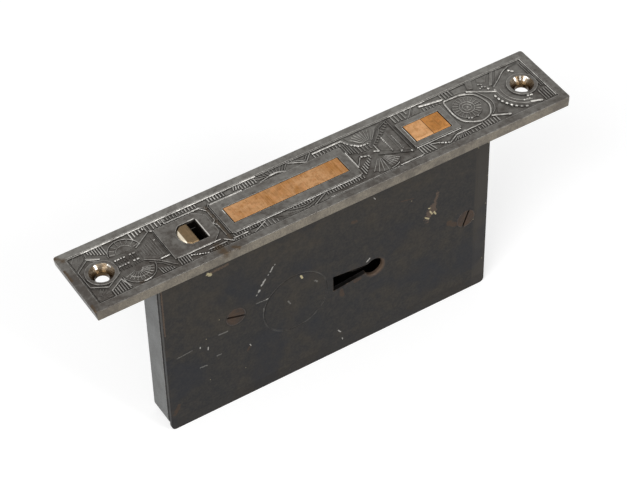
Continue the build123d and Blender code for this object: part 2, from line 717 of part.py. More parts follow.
def jaw(side):
    """Half of the bolt head: a barb, a narrow neck and a pivoted tang. Side is -1 or 1 along X."""
    split = JAW_SPLIT / 2
    barb_low = plate_face - BARB_HEIGHT
    outline = shape((split, plate_face), (jaw_half, plate_face), (jaw_half - BARB_TAPER, barb_low),
                    (jaw_neck, barb_low), (jaw_neck, jaw_pivot_z), (split, jaw_pivot_z))
    outline += disc(jaw_pivot_u, jaw_pivot_z, jaw_eye_r)
    outline -= disc(jaw_pivot_u, jaw_pivot_z, JAW_PIN_R + RUN_GAP)
    outline -= spreader_pocket()
    tang = slab(outline, bolt_front, bolt_plate_front - LAYER_GAP)
    head = slab(outline & rect(0, jaw_half, jaw_head_low, plate_face), bolt_front, bolt_back)
    whole = tang + head
    return Pos(bolt_x, 0, 0) * (whole if side > 0 else mirror(whole, about=Plane.YZ))


# Tumbler

def tumbler_lever():
    """Lever that the key lifts: a hollow belly round the key's path and a window round the bolt's stump."""
    reach = TUMBLER_BELLY_R
    spread = math.radians(TUMBLER_BELLY_ANGLE)
    tip_x = key_x + reach * math.cos(spread)
    tip_rise = reach * math.sin(spread)
    shoulder_x = bolt_x + STUD_R
    edges = ThreePointArc((tip_x, KEY_Z - tip_rise), (key_x + reach, KEY_Z), (tip_x, KEY_Z + tip_rise))
    edges += Polyline(
        (tip_x, KEY_Z + tip_rise),
        (tip_x + STUD_R, tumbler_top),
        (shoulder_x, tumbler_top),
        (tumbler_right, KEY_Z - tip_rise),
        (tumbler_right, stump_z - STUMP_R),
        (tumbler_x + TUMBLER_EYE_R, tumbler_z),
        (tumbler_x, tumbler_z - TUMBLER_EYE_R),
        (stump_x, stump_z - TUMBLER_TAIL_DROP),
        (tip_x, KEY_Z - tip_rise),
    )
    outline = make_face(edges) + disc(tumbler_x, tumbler_z, TUMBLER_EYE_R)
    outline -= disc(tumbler_x, tumbler_z, STUD_R + RUN_GAP)
    return slab(outline - tumbler_window(), tumbler_front, tumbler_back)


def tumbler_window():
    """Window that clears the stump over the bolt's travel, with the tumbler down and lifted."""
    swing = math.radians(TUMBLER_SWING)
    shift_high = (stump_z + BOLT_TRAVEL - tumbler_z) * math.sin(swing)
    shift_down = (tumbler_x - stump_x) * math.sin(swing)
    left = stump_x - STUMP_R - SIDE_GAP - shift_high
    right = stump_x + STUMP_R + SIDE_GAP
    low = stump_z - STUMP_R - SIDE_GAP - shift_down
    high = stump_z + BOLT_TRAVEL + STUMP_R + SIDE_GAP
    fence_low = stump_z + STUMP_R + STOP_GAP
    fence_high = stump_z + BOLT_TRAVEL - STUMP_R - STOP_GAP
    pockets = rect(left, right + TUMBLER_FENCE, low, high) - rect(right, right + TUMBLER_FENCE, fence_low, fence_high)
    return pockets


def tumbler_leaf():
    """Centre line of the tumbler spring, from its anchor on the end wall to the tumbler's edge."""
    anchor_x = inner_right - LEAF_ANCHOR_WIDTH / 2
    touch_x = tumbler_right + LEAF_TOUCH_GAP + LEAF_THICK / 2
    return FilletPolyline(
        (anchor_x, tumbler_anchor_top - LEAF_THICK),
        (anchor_x, tumbler_anchor_top - LEAF_STRAIGHT),
        (touch_x, UPPER_COVER_SCREW_Z + COVER_POST_R),
        (touch_x, stump_z - STUMP_R),
        radius=LEAF_BEND_R,
    )


# Every piece under its own name

pieces = {
    "face_plate": face_plate(),
    "plate_rivets": plate_rivets(),
    "case_shell": case_shell(),
    "cover_plate": cover_plate(),
    "cover_screws": cover_screws(),
    "key_ward": key_ward(),
    "pull_bar": pull_bar(),
    "pull_slide": pull_slide(),
    "pull_rivets": pull_rivets(),
    "pull_spring": pull_spring(),
    "thumb_piece": thumb_piece(),
    "thumb_piece_pin": thumb_piece_pin(),
    "release_lever": release_lever(),
    "release_spring": leaf_spring(release_leaf()),
    "bolt_plate": bolt_plate(),
    "bolt_stump": bolt_stump(),
    "jaw_pins": jaw_pins(),
    "bolt_jaw_lower": jaw(-1),
    "bolt_jaw_upper": jaw(1),
    "tumbler_lever": tumbler_lever(),
    "tumbler_spring": leaf_spring(tumbler_leaf()),
}
for stud_name in stud_places():
    pieces[stud_name] = stud(stud_name)

os.makedirs("parts", exist_ok=True)
for name, piece in pieces.items():
    solid = Compound(children=piece) if isinstance(piece, list) else piece
    export_step(solid, f"parts/{name}.step")

release_angle = math.degrees(math.asin(THUMB_TRAVEL / (plate_face - RELEASE_PIVOT_Z)))
print("release lever turns", round(release_angle, 3), "degrees")
print("pivots: release", round(thumb_x, 3), RELEASE_PIVOT_Z, "tumbler", round(tumbler_x, 3), round(tumbler_z, 3))
print("jaws: bolt", round(bolt_x, 3), "pivots", round(bolt_x - jaw_pivot_u, 4), round(bolt_x + jaw_pivot_u, 4),
      round(jaw_pivot_z, 3), "key", round(key_x, 4), KEY_Z)
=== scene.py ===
"""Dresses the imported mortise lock: the cast pattern of the face plate, worn finishes for every piece, and
a plain studio seen from the front left. Lengths are in metres. Marks and the pattern are in millimetres, with
X and Y on the plate and X and Z on the cover."""

import math

import bmesh
import bpy
from bpy.props import FloatProperty, FloatVectorProperty, PointerProperty
from bpy.types import Operator, Panel, PropertyGroup
from mathutils import Matrix, Vector


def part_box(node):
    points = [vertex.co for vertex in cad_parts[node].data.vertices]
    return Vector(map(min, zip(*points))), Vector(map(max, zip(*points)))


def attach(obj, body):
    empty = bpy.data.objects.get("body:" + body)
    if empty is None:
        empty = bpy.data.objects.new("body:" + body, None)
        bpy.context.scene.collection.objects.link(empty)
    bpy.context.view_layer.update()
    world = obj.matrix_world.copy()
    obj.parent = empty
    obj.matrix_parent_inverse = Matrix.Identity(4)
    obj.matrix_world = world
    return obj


bl_info = {
    "name": "Sliding Door Mortise Lock",
    "version": (1, 0, 0),
    "blender": (4, 5, 0),
    "location": "View3D > Sidebar > Mortise Lock",
    "description": "Cast pattern, worn finishes and a plain studio for a sliding door mortise lock",
    "category": "Object",
}

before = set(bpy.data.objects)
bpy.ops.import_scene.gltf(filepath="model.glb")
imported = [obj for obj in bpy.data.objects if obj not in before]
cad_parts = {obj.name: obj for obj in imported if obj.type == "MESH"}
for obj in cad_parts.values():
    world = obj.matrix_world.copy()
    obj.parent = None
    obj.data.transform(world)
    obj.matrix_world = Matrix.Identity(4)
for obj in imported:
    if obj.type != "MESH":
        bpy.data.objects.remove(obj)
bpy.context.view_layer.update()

MM = 0.001
WHITE = (1.0, 1.0, 1.0)
PLATE_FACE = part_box("face_plate")[1].z
COVER_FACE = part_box("cover_plate")[0].y
CASE_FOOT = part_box("case_shell")[0].z

# Places of the lock in millimetres
HOLE_X, COUNTERSINK = 90.4875, 4.75
KEYHOLE, KEYHOLE_RADIUS = (19.3, -49.3), 4.0
MARK_RING, MARK_RADIUS = (-16.1, -47.8), 14.2
COVER_SCREWS = ((-42.0, -40.9), (61.5, -46.2))
CASE_INSIDE = ((-68.95, 68.65), (-6.8, 5.1), (-82.7, -0.1))
# Where the thumb piece's pale end begins: polish with a painted highlight
THUMB_POLISH_AND_HIGHLIGHT_X = -57.9

# The pattern's casting
HIGHEST_RISE = 0.97                     # share of the field's depth, so that ridges stay below the plate
RISE_STEP, RISE_LEVELS = 0.004, 7       # lines differ a little in height, so that crossing tops don't meet
LEVEL_STEP = 0.0015 * MM
FLAT_ROOT = 0.05 * MM
RIDGE_STEP = 1.2 * MM
RIDGE_TOP_SHARE = 0.45
WANDER_SCALE = 400.0
WANDER_SEED = 3.0

# The photograph's camera
CAMERA_PLACE = (-0.31916, -0.52151, 0.58832)
CAMERA_TURN = (-31.187, 45.414, -1.482)     # azimuth, elevation and roll in degrees
LAMP_AIM = (0.0, 0.0, -0.03)


def srgb(red, green, blue):
    """Screen levels from 0 to 255 as a linear colour."""
    levels = (value / 255 for value in (red, green, blue))
    return tuple(v / 12.92 if v <= 0.04045 else ((v + 0.055) / 1.055) ** 2.4 for v in levels)


def shade(colour, factor, lift=0.0):
    """A colour made darker or lighter."""
    return tuple(min(1.0, factor * level + lift) for level in colour)


def colour(name, description, *levels):
    return FloatVectorProperty(name=name, description=description, default=srgb(*levels),
                               subtype="COLOR", size=3, min=0, max=1)


def length(name, description, millimetres):
    return FloatProperty(name=name, description=description, default=millimetres * MM, unit="LENGTH")


def number(name, description, value, **settings):
    return FloatProperty(name=name, description=description, default=value, **settings)


# Settings that a user would change

class PlateReliefSettings(PropertyGroup):
    field_depth: length("Field depth", "How far the patterned field lies below the plate's border", 0.6)
    ridge_width: length("Ridge width", "Width of the bright ridges at their foot", 0.75)
    bar_width: length("Bar width", "Width of the hatching bars at their foot", 0.62)
    bar_pitch: length("Bar pitch", "Distance from one hatching bar to the next", 1.12)
    slope: length("Side slope", "How far the sides of a raised shape lean in", 0.16)
    unevenness: length("Unevenness", "How far the casting wanders from straight lines", 0.07)


class FinishSettings(PropertyGroup):
    plate_metal: colour("Plate metal", "Bronzed cast metal of the face plate", 126, 124, 119)
    plate_dark: colour("Plate dark", "Darker clouds of the face plate", 74, 69, 64)
    # Also painted shade: the colour that darkens recesses and dark lines in the finishes.
    grime_and_shade: colour("Plate grime", "Dirt in the sunk parts of the pattern", 34, 30, 27)
    # Also the colour of painted highlights on the plate and in its countersinks.
    plate_worn_and_glint: colour("Plate worn", "Bare metal on the ridges", 214, 211, 205)
    plate_edge: colour("Plate edge", "Side faces of the plate", 132, 124, 110)
    # Also painted shade: the deep windows, the keyhole slot and the inside of the case are painted with it.
    grease_and_shade_black: colour("Void black", "Old grease in the windows and inside the case", 20, 16, 13)
    bronze: colour("Bronze", "Bright bronze of the countersinks", 132, 120, 104)
    bronze_dark: colour("Bronze, dark", "Dark bronze of the countersinks", 72, 56, 36)
    rust: colour("Rust", "Rust and old varnish stains", 100, 70, 40)
    cover_black: colour("Cover black", "Dark oxide of the cover", 27, 27, 29)
    cover_brown: colour("Cover brown", "Brown clouds of the cover", 60, 55, 48)
    cover_blue: colour("Cover blue", "Blue-black clouds of the cover", 24, 28, 37)
    cover_scratch: colour("Scratch", "Bare scratches on the cover", 176, 174, 168)
    cover_chip: colour("Chip", "Pale chips and corroded flecks of the cover", 196, 184, 146)
    # Also painted light on the keyhole's lit side.
    keyhole_rim: colour("Keyhole rim", "Metal that keys have rubbed round the keyhole", 132, 108, 88)
    case_grey: colour("Case grey", "Casting of the case", 124, 125, 124)
    case_dark: colour("Case dark", "Dark blotches of the case", 98, 98, 97)
    screw_brown: colour("Screw brown", "Rust brown cover screws", 33, 26, 22)
    brass_copper: colour("Brass, copper side", "Copper coloured part of the brass", 188, 143, 99)
    brass_gold: colour("Brass, golden side", "Golden part of the brass", 160, 109, 55)
    thumb_brass: colour("Thumb piece brass", "Olive brass of the thumb piece", 114, 94, 66)
    # Also a painted highlight on the thumb piece's rounded end.
    brass_polish_and_highlight: colour("Brass, pale", "Brass that fingers keep bright", 226, 214, 192)
    works_grey: colour("Works steel", "Oiled steel of the works", 111, 108, 103)
    spring_blue: colour("Spring steel", "Blued steel of the springs", 74, 77, 85)


class StageSettings(PropertyGroup):
    camera_lens: number("Lens", "Focal length on a 36 mm sensor", 133.22)
    key_power: number("Key lamp", "Power of the soft lamp at the left", 16.0, unit="POWER")
    front_power: number("Front lamp", "Power of the small lamp in front", 8.0, unit="POWER")
    sky: number("Sky", "Strength of the plain light from all round", 0.42)
    floor_glow: number("Floor glow", "Light added to make the floor plain white", 0.54)


# Small tools for node trees

class Output:
    """A node's output. Sums, products and comparisons with it are Math nodes in its own tree."""

    def __init__(self, socket):
        self.socket, self.tree = socket, socket.id_data

    def __add__(self, other):
        return maths("ADD", self, other)

    def __radd__(self, other):
        return maths("ADD", other, self)

    def __sub__(self, other):
        return maths("SUBTRACT", self, other)

    def __rsub__(self, other):
        return maths("SUBTRACT", other, self)

    def __mul__(self, other):
        return maths("MULTIPLY", self, other)

    def __rmul__(self, other):
        return maths("MULTIPLY", other, self)

    def __truediv__(self, other):
        return maths("DIVIDE", self, other)

    def __rtruediv__(self, other):
        return maths("DIVIDE", other, self)

    def __lt__(self, other):
        return maths("LESS_THAN", self, other)

    def __gt__(self, other):
        return maths("GREATER_THAN", self, other)

    def __abs__(self):
        return maths("ABSOLUTE", self)

    def clamped(self):
        """The same sum, held between 0 and 1."""
        self.socket.node.use_clamp = True
        return self


class Outputs:
    """All outputs of a node, by name or by number."""

    def __init__(self, node):
        self.node = node

    def __getitem__(self, key):
        return Output(self.node.outputs[key])


def connect(value, socket):
    """Gives an input a plain value, or links an output to it."""
    if isinstance(value, Output):
        socket.id_data.links.new(value.socket, socket)
    else:
        socket.default_value = (*value, 1.0) if socket.type == "RGBA" else value


def add(tree, kind, inputs=None, **settings):
    """A new node with its settings and inputs."""
    node = tree.nodes.new(kind)
    for name, value in settings.items():
        setattr(node, name, value)
    for name, value in (inputs or {}).items():
        connect(value, node.inputs[name])
    return Outputs(node)


def maths(operation, first, second=0.0):
    tree = (first if isinstance(first, Output) else second).tree
    return add(tree, "ShaderNodeMath", {0: first, 1: second}, operation=operation)[0]


def largest(first, *others):
    for other in others:
        first = maths("MAXIMUM", first, other)
    return first


def distance(across, down):
    """How far a place lies from a centre, from its offsets."""
    return maths("SQRT", across * across + down * down)


def remap(value, low, high, to_low=0.0, to_high=1.0, smooth=True):
    """Turns the range from low to high into another one, level beyond both ends."""
    inputs = {"Value": value, "From Min": low, "From Max": high, "To Min": to_low, "To Max": to_high}
    kind = "SMOOTHSTEP" if smooth else "LINEAR"
    return add(value.tree, "ShaderNodeMapRange", inputs, interpolation_type=kind)["Result"]


def ramp(value, low, high, **settings):
    """Remaps a length, from limits in millimetres."""
    return remap(value, low * MM, high * MM, **settings)


def between(value, low, high, blur=0.05):
    """1 where a length lies between two limits in millimetres."""
    return ramp(value, low - blur, low + blur) * ramp(value, high + blur, high - blur)


def mix(factor, first, second):
    """One colour turned into another where the factor is 1."""
    return add(factor.tree, "ShaderNodeMix", {0: factor, 6: first, 7: second}, data_type="RGBA")[2]


def noise(vector, scale, detail=3.0, roughness=0.55):
    inputs = {"Vector": vector, "Scale": scale, "Detail": detail, "Roughness": roughness}
    return add(vector.tree, "ShaderNodeTexNoise", inputs)["Fac"]


def axes(vector):
    return add(vector.tree, "ShaderNodeSeparateXYZ", {0: vector})


# Effects that several finishes share

class Effect:
    """A shader node group, built once and placed in many materials. Its inputs are numbers, or vectors where
    the default is None, and its outputs are masks, values and normals."""

    def __init__(self, name, inputs, outputs=("Mask",)):
        self.tree = bpy.data.node_groups.new(name, "ShaderNodeTree")
        for socket, default in inputs.items():
            kind = "NodeSocketVector" if default is None else "NodeSocketFloat"
            item = self.tree.interface.new_socket(socket, in_out="INPUT", socket_type=kind)
            if default is not None:
                item.default_value = default
        for socket in outputs:
            kind = "NodeSocketVector" if "Normal" in socket else "NodeSocketFloat"
            self.tree.interface.new_socket(socket, in_out="OUTPUT", socket_type=kind)
        given = Outputs(self.tree.nodes.new("NodeGroupInput"))
        self.given = [given[socket] for socket in inputs]
        self.result = self.tree.nodes.new("NodeGroupOutput").inputs

    def give(self, **outputs):
        for name, value in outputs.items():
            connect(value, self.result[name.replace("_", " ")])


def make_edge_wear():
    """Edge: corners that hands and doors wear bare. Recess: inner corners found by ambient occlusion, which
    the finishes darken as grime and painted shade.
    """
    group = Effect("Edge wear", {"Radius": 0.3 * MM, "Recess Depth": 1.5 * MM, "Breakup": 0.5},
                   ("Edge", "Recess", "Soft Normal"))
    radius, recess_depth, breakup = group.given
    place = add(group.tree, "ShaderNodeTexCoord")["Object"]
    soft = add(group.tree, "ShaderNodeBevel", {"Radius": radius}, samples=6)["Normal"]
    inner = add(group.tree, "ShaderNodeAmbientOcclusion", {"Distance": radius}, samples=8, inside=True,
                only_local=True)["AO"]
    outer = add(group.tree, "ShaderNodeAmbientOcclusion", {"Distance": recess_depth}, samples=8)["AO"]
    flecks = remap(noise(place, 900.0, 2.0), 0.35, 0.65)
    broken = (1.0 - flecks) * breakup
    corner = remap(inner, 0.95, 0.55)
    group.give(Edge=(corner - broken).clamped(), Recess=remap(outer, 0.95, 0.35), Soft_Normal=soft)


def make_mottling():
    """Cloudy patches at two sizes, for metal that has aged unevenly."""
    group = Effect("Mottling", {"Vector": None, "Size": 12 * MM, "Contrast": 0.5})
    place, size, contrast = group.given
    scale = 1.0 / size
    broad = noise(place, scale, 4.0, 0.6)
    fine = noise(place, scale * 6.0, 3.0, 0.6)
    clouds = broad * 0.7 + fine * 0.3
    reach = (1.0 - contrast) * 0.3
    group.give(Mask=remap(clouds, 0.48 - reach, 0.56 + reach))


def make_cast_grain():
    """The fine skin of a casting: a height for the bump and a share of extra roughness."""
    group = Effect("Cast grain", {"Vector": None, "Size": 0.5 * MM}, ("Height", "Roughness"))
    place, size = group.given
    scale = 1.0 / size
    grain = noise(place, scale, 4.0, 0.65)
    pits = add(group.tree, "ShaderNodeTexVoronoi", {"Vector": place, "Scale": scale})["Distance"]
    group.give(Height=grain + pits * 0.35, Roughness=(grain - 0.5) * 0.5)


def make_specks():
    """Small scattered flecks. Share is the part of the cells that hold one."""
    group = Effect("Specks", {"Vector": None, "Spacing": 5 * MM, "Radius": 0.3 * MM, "Share": 0.3})
    place, spacing, radius, share = group.given
    cells = add(group.tree, "ShaderNodeTexVoronoi", {"Vector": place, "Scale": 1.0 / spacing})
    chance, size, _ = axes(cells["Color"])
    reach = radius * (size + 0.3) / spacing
    near = cells["Distance"] < reach
    group.give(Mask=near * (chance < share))


def make_streaks():
    """Fine lines along one direction, as a file or emery cloth leaves them."""
    group = Effect("Streaks", {"Vector": None, "Angle": None, "Pitch": 0.3 * MM})
    place, angle, pitch = group.given
    turned = add(group.tree, "ShaderNodeMapping",
                 {"Vector": place, "Rotation": angle, "Scale": (1.0, 0.04, 1.0)})[0]
    group.give(Mask=remap(noise(turned, 1.0 / pitch, 3.0, 0.7), 0.4, 0.62))


def make_stroke():
    """A mark along a straight line from Start to End: a scratch, or a stain where they are one place."""
    group = Effect("Stroke", {"Vector": None, "Start": None, "End": None, "Width": 0.4 * MM,
                              "Softness": 0.5, "Ragged": 0.5, "Grain": 1.0 * MM})
    place, start, end, width, softness, ragged, grain = group.given

    def vector_maths(operation, first, second):
        return add(group.tree, "ShaderNodeVectorMath", {0: first, 1: second}, operation=operation)

    from_start = vector_maths("SUBTRACT", place, start)[0]
    whole = vector_maths("SUBTRACT", end, start)[0]
    along = vector_maths("DOT_PRODUCT", from_start, whole)["Value"]
    squared = vector_maths("DOT_PRODUCT", whole, whole)["Value"]
    share = (along / squared).clamped()
    foot = add(group.tree, "ShaderNodeVectorMath", {0: whole, "Scale": share}, operation="SCALE")[0]
    away = vector_maths("DISTANCE", from_start, foot)["Value"]
    rough = noise(place, 1.0 / grain, 4.0, 0.7) - 0.5
    edge = away + rough * ragged * width * 4.0
    group.give(Mask=remap(edge, width, width * (1.0 - softness)))


def on_cover(x, z):
    """A place on the cover's face, from millimetres."""
    return Vector((x * MM, COVER_FACE, z * MM))


def on_plate(x, y):
    """A place on the plate's face, from millimetres."""
    return Vector((x * MM, y * MM, PLATE_FACE))


def on_field(x, y):
    """A place low in the plate's sunk field, from millimetres."""
    return Vector((x * MM, y * MM, PLATE_FACE - 0.45 * MM))


def on_cone(x, y):
    """A place in a screw hole's countersink, from millimetres."""
    radius = math.hypot(abs(x) - HOLE_X, y)
    return Vector((x * MM, y * MM, PLATE_FACE - (COUNTERSINK - radius) * 1.25 * MM))


# Marks in millimetres: start, end, width and raggedness

# Dark lines low in the field, grime and painted shade
PLATE_GROOVE_SHADE = (
    (37.7, 12.2, 30.6, 9.3, 0.85, 0.4), (30.6, 9.3, 24.6, 3.2, 0.8, 0.4),
    (36.8, 11.8, 36.8, -8.0, 0.6, 0.4), (24.2, -2.4, 35.6, -7.8, 0.6, 0.5),
    (-65.5, 8.8, -65.5, -6.0, 0.55, 0.4), (-42.9, 9.0, -42.9, -11.8, 0.7, 0.6),
    (-27.6, -9.2, -21.4, -12.2, 0.8, 0.5), (80.6, 5.3, 86.7, 9.7, 0.8, 0.4),
    (86.7, 9.7, 96.0, 11.6, 0.8, 0.4), (77.0, -1.0, 79.6, -7.6, 0.9, 0.6),
    (79.6, -7.6, 86.4, -11.6, 0.9, 0.6), (-97.5, -4.9, -91.6, -8.2, 0.5, 0.5),
    (57.9, 7.2, 57.9, -7.0, 0.5, 0.5),
)
PLATE_STAINS = (
    (-50.2, -12.0, -48.8, -15.8, 3.1, 0.5), (-43.6, 8.4, -43.5, -9.8, 1.2, 0.6),
    (-45.6, -14.4, -43.6, -16.0, 1.2, 0.7), (-101.0, 14.6, -99.4, 12.6, 1.8, 0.5),
    (-101.2, 7.5, -101.2, 2.0, 0.9, 0.6), (-101.2, -12.5, -101.2, -15.5, 1.0, 0.6),
    (-80.5, -11.6, -81.5, -11.8, 1.1, 0.6),
)
PLATE_GLINTS = (
    (-49.6, -4.9, -49.6, 4.6, 0.3, 0.3), (-52.4, 5.55, -50.2, 5.5, 0.25, 0.3),
    (38.9, -4.4, 38.9, 4.2, 0.2, 0.4), (-39.2, 1.6, -39.2, 3.6, 0.25, 0.3),
)
# Painted highlights: bright streaks in the countersinks.
CONE_GLINTS = (
    *((side * HOLE_X + x0, y0, side * HOLE_X + x1, y1, width, ragged) for side in (-1, 1)
      for x0, y0, x1, y1, width, ragged in (
          (-0.4, 4.5, -0.2, 3.8, 0.55, 0.3), (3.7, 2.5, 4.2, 1.2, 0.35, 0.5))),
    (92.6, 4.0, 92.2, 3.3, 0.4, 0.3), (94.0, 2.8, 93.2, 2.4, 0.4, 0.3),
)
SCRATCHES = (
    (-24.4, -23.0, -24.6, -23.3, 0.2, 0.8), (-25.3, -23.9, -26.6, -25.9, 0.3, 0.8),
    (-27.4, -26.7, -27.6, -27.0, 0.24, 0.8), (-28.9, -28.6, -30.5, -30.9, 0.42, 0.8),
    (-31.5, -33.0, -31.8, -33.6, 0.48, 0.8), (-32.6, -34.6, -32.9, -35.0, 0.2, 0.8),
    (-28.2, -39.4, -28.6, -39.5, 0.3, 0.8), (-57.7, -48.4, -57.7, -48.8, 0.28, 0.6),
    (-54.4, -50.3, -54.5, -51.5, 0.3, 0.6), (19.0, -12.2, 19.7, -13.3, 0.2, 0.6),
    (2.6, -75.0, 3.6, -76.5, 0.28, 0.8), (4.3, -80.4, 4.5, -81.2, 0.26, 0.6),
    (-36.7, -59.3, -36.3, -60.2, 0.24, 0.6), (15.9, -44.3, 17.2, -43.3, 0.4, 0.9),
)
FAINT_SCRATCHES = (
    (-33.0, -39.1, -28.6, -39.4, 0.26, 1.0), (-30.1, -43.4, -29.9, -45.2, 0.26, 1.0),
    (-49.8, -46.3, -45.9, -46.6, 0.34, 1.0), (-67.5, -48.6, -61.2, -48.1, 0.22, 1.1),
    (-58.2, -59.3, -55.4, -59.7, 0.34, 1.0), (-50.9, -57.0, -49.2, -57.2, 0.3, 1.0),
    (-19.4, -45.8, -18.4, -47.6, 0.36, 1.0), (-7.4, -41.4, -6.4, -42.4, 0.4, 1.0),
)
CHIPS = (
    (-13.5, -35.5, -12.9, -36.8, 0.55, 0.4), (-52.4, -12.4, -51.4, -13.2, 0.8, 0.6),
    (42.7, -35.6, 44.0, -36.8, 0.36, 1.2), (44.6, -33.2, 45.6, -34.8, 0.36, 1.2),
    (46.6, -34.4, 47.3, -36.0, 0.4, 1.0), (43.9, -31.2, 44.6, -31.4, 0.3, 1.0),
)
RUST_SPOTS = (
    (4.3, -53.6, 4.6, -56.4, 1.2, 0.5), (9.6, -19.6, 10.8, -20.2, 0.9, 0.9),
    (31.4, -20.8, 37.0, -22.2, 0.3, 1.3), (-68.6, -74.4, -70.2, -78.2, 1.1, 0.8),
    (-37.0, -60.6, -37.6, -61.9, 0.7, 0.8), (53.6, -44.4, 56.4, -46.6, 1.5, 0.6),
    (10.4, -52.2, 12.6, -51.8, 0.9, 0.7),
)
# Haze, with a painted highlight along the cover's left edge
HAZE_AND_EDGE_SHEEN = (
    (43.6, -35.8, 46.0, -31.6, 2.2, 1.0), (46.4, -31.2, 48.0, -24.8, 0.8, 1.2),
    (-51.0, -12.4, -44.0, -12.0, 0.7, 1.0), (-71.6, -10.0, -71.6, -34.0, 0.35, 1.0),
)
KEYHOLE_RUB_AND_LIGHT = ((*KEYHOLE, *KEYHOLE, KEYHOLE_RADIUS + 1.3, 0.03),)
SCREW_DIRT = tuple((*screw, *screw, 5.2, 0.1) for screw in COVER_SCREWS)
PULL_HANDLED = (
    (-24.5, 3.0, -22.5, -3.0, 4.6, 0.6), (-14.0, 3.9, -5.0, 3.9, 3.2, 0.6),
    (-17.5, 1.0, -14.0, 2.5, 4.4, 0.6), (-12.0, -3.0, -10.5, -1.5, 2.2, 0.6),
    (4.6, 3.5, 6.6, -4.0, 5.6, 0.4), (9.4, 3.0, 9.4, -3.0, 5.0, 0.4),
)
# Painted highlights along the front edges of the bolt's jaws
LOWER_JAW_HIGHLIGHT = ((39.6, -4.2, 46.6, -4.3, 0.8, 0.9),)
UPPER_JAW_HIGHLIGHTS = ((47.4, -4.3, 54.8, -4.3, 0.7, 1.2), (54.4, -2.4, 54.6, -3.4, 0.7, 1.0))


# Finishes

class Finish:
    """A new material, with its node tree, its place on the object and its surface shader."""

    def __init__(self, name):
        self.material = bpy.data.materials.new(name)
        self.material.use_nodes = True
        self.tree = self.material.node_tree
        self.shader = self.tree.nodes["Principled BSDF"]
        self.place = add(self.tree, "ShaderNodeTexCoord")["Object"]

    def effect(self, name, **inputs):
        """Places a shared effect. Underscores in an input's name stand for spaces."""
        group = bpy.data.node_groups[name]
        named = {key.replace("_", " "): value for key, value in inputs.items()}
        if "Vector" in group.interface.items_tree.keys():
            named["Vector"] = self.place
        return add(self.tree, "ShaderNodeGroup", named, node_tree=group)

    def mask(self, name, **inputs):
        return self.effect(name, **inputs)["Mask"]

    def strokes(self, marks, at=on_cover, softness=0.5):
        """One mask for a table of marks."""
        total = 0.0
        for x0, y0, x1, y1, width, ragged in marks:
            mark = self.mask("Stroke", Start=at(x0, y0), End=at(x1, y1), Width=width * MM, Softness=softness,
                             Ragged=ragged, Grain=max(width, 0.5) * MM)
            total = maths("MAXIMUM", mark, total)
        return total

    def set(self, **values):
        for key, value in values.items():
            connect(value, self.shader.inputs[key.replace("_", " ")])

    def bump(self, height, distance, normal):
        inputs = {"Height": height, "Distance": distance, "Normal": normal}
        self.set(Normal=add(self.tree, "ShaderNodeBump", inputs)[0])

    def wear_on(self, *nodes):
        """Puts this finish in every slot of the named parts of the lock."""
        for node in nodes:
            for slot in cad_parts[node].material_slots:
                slot.material = self.material


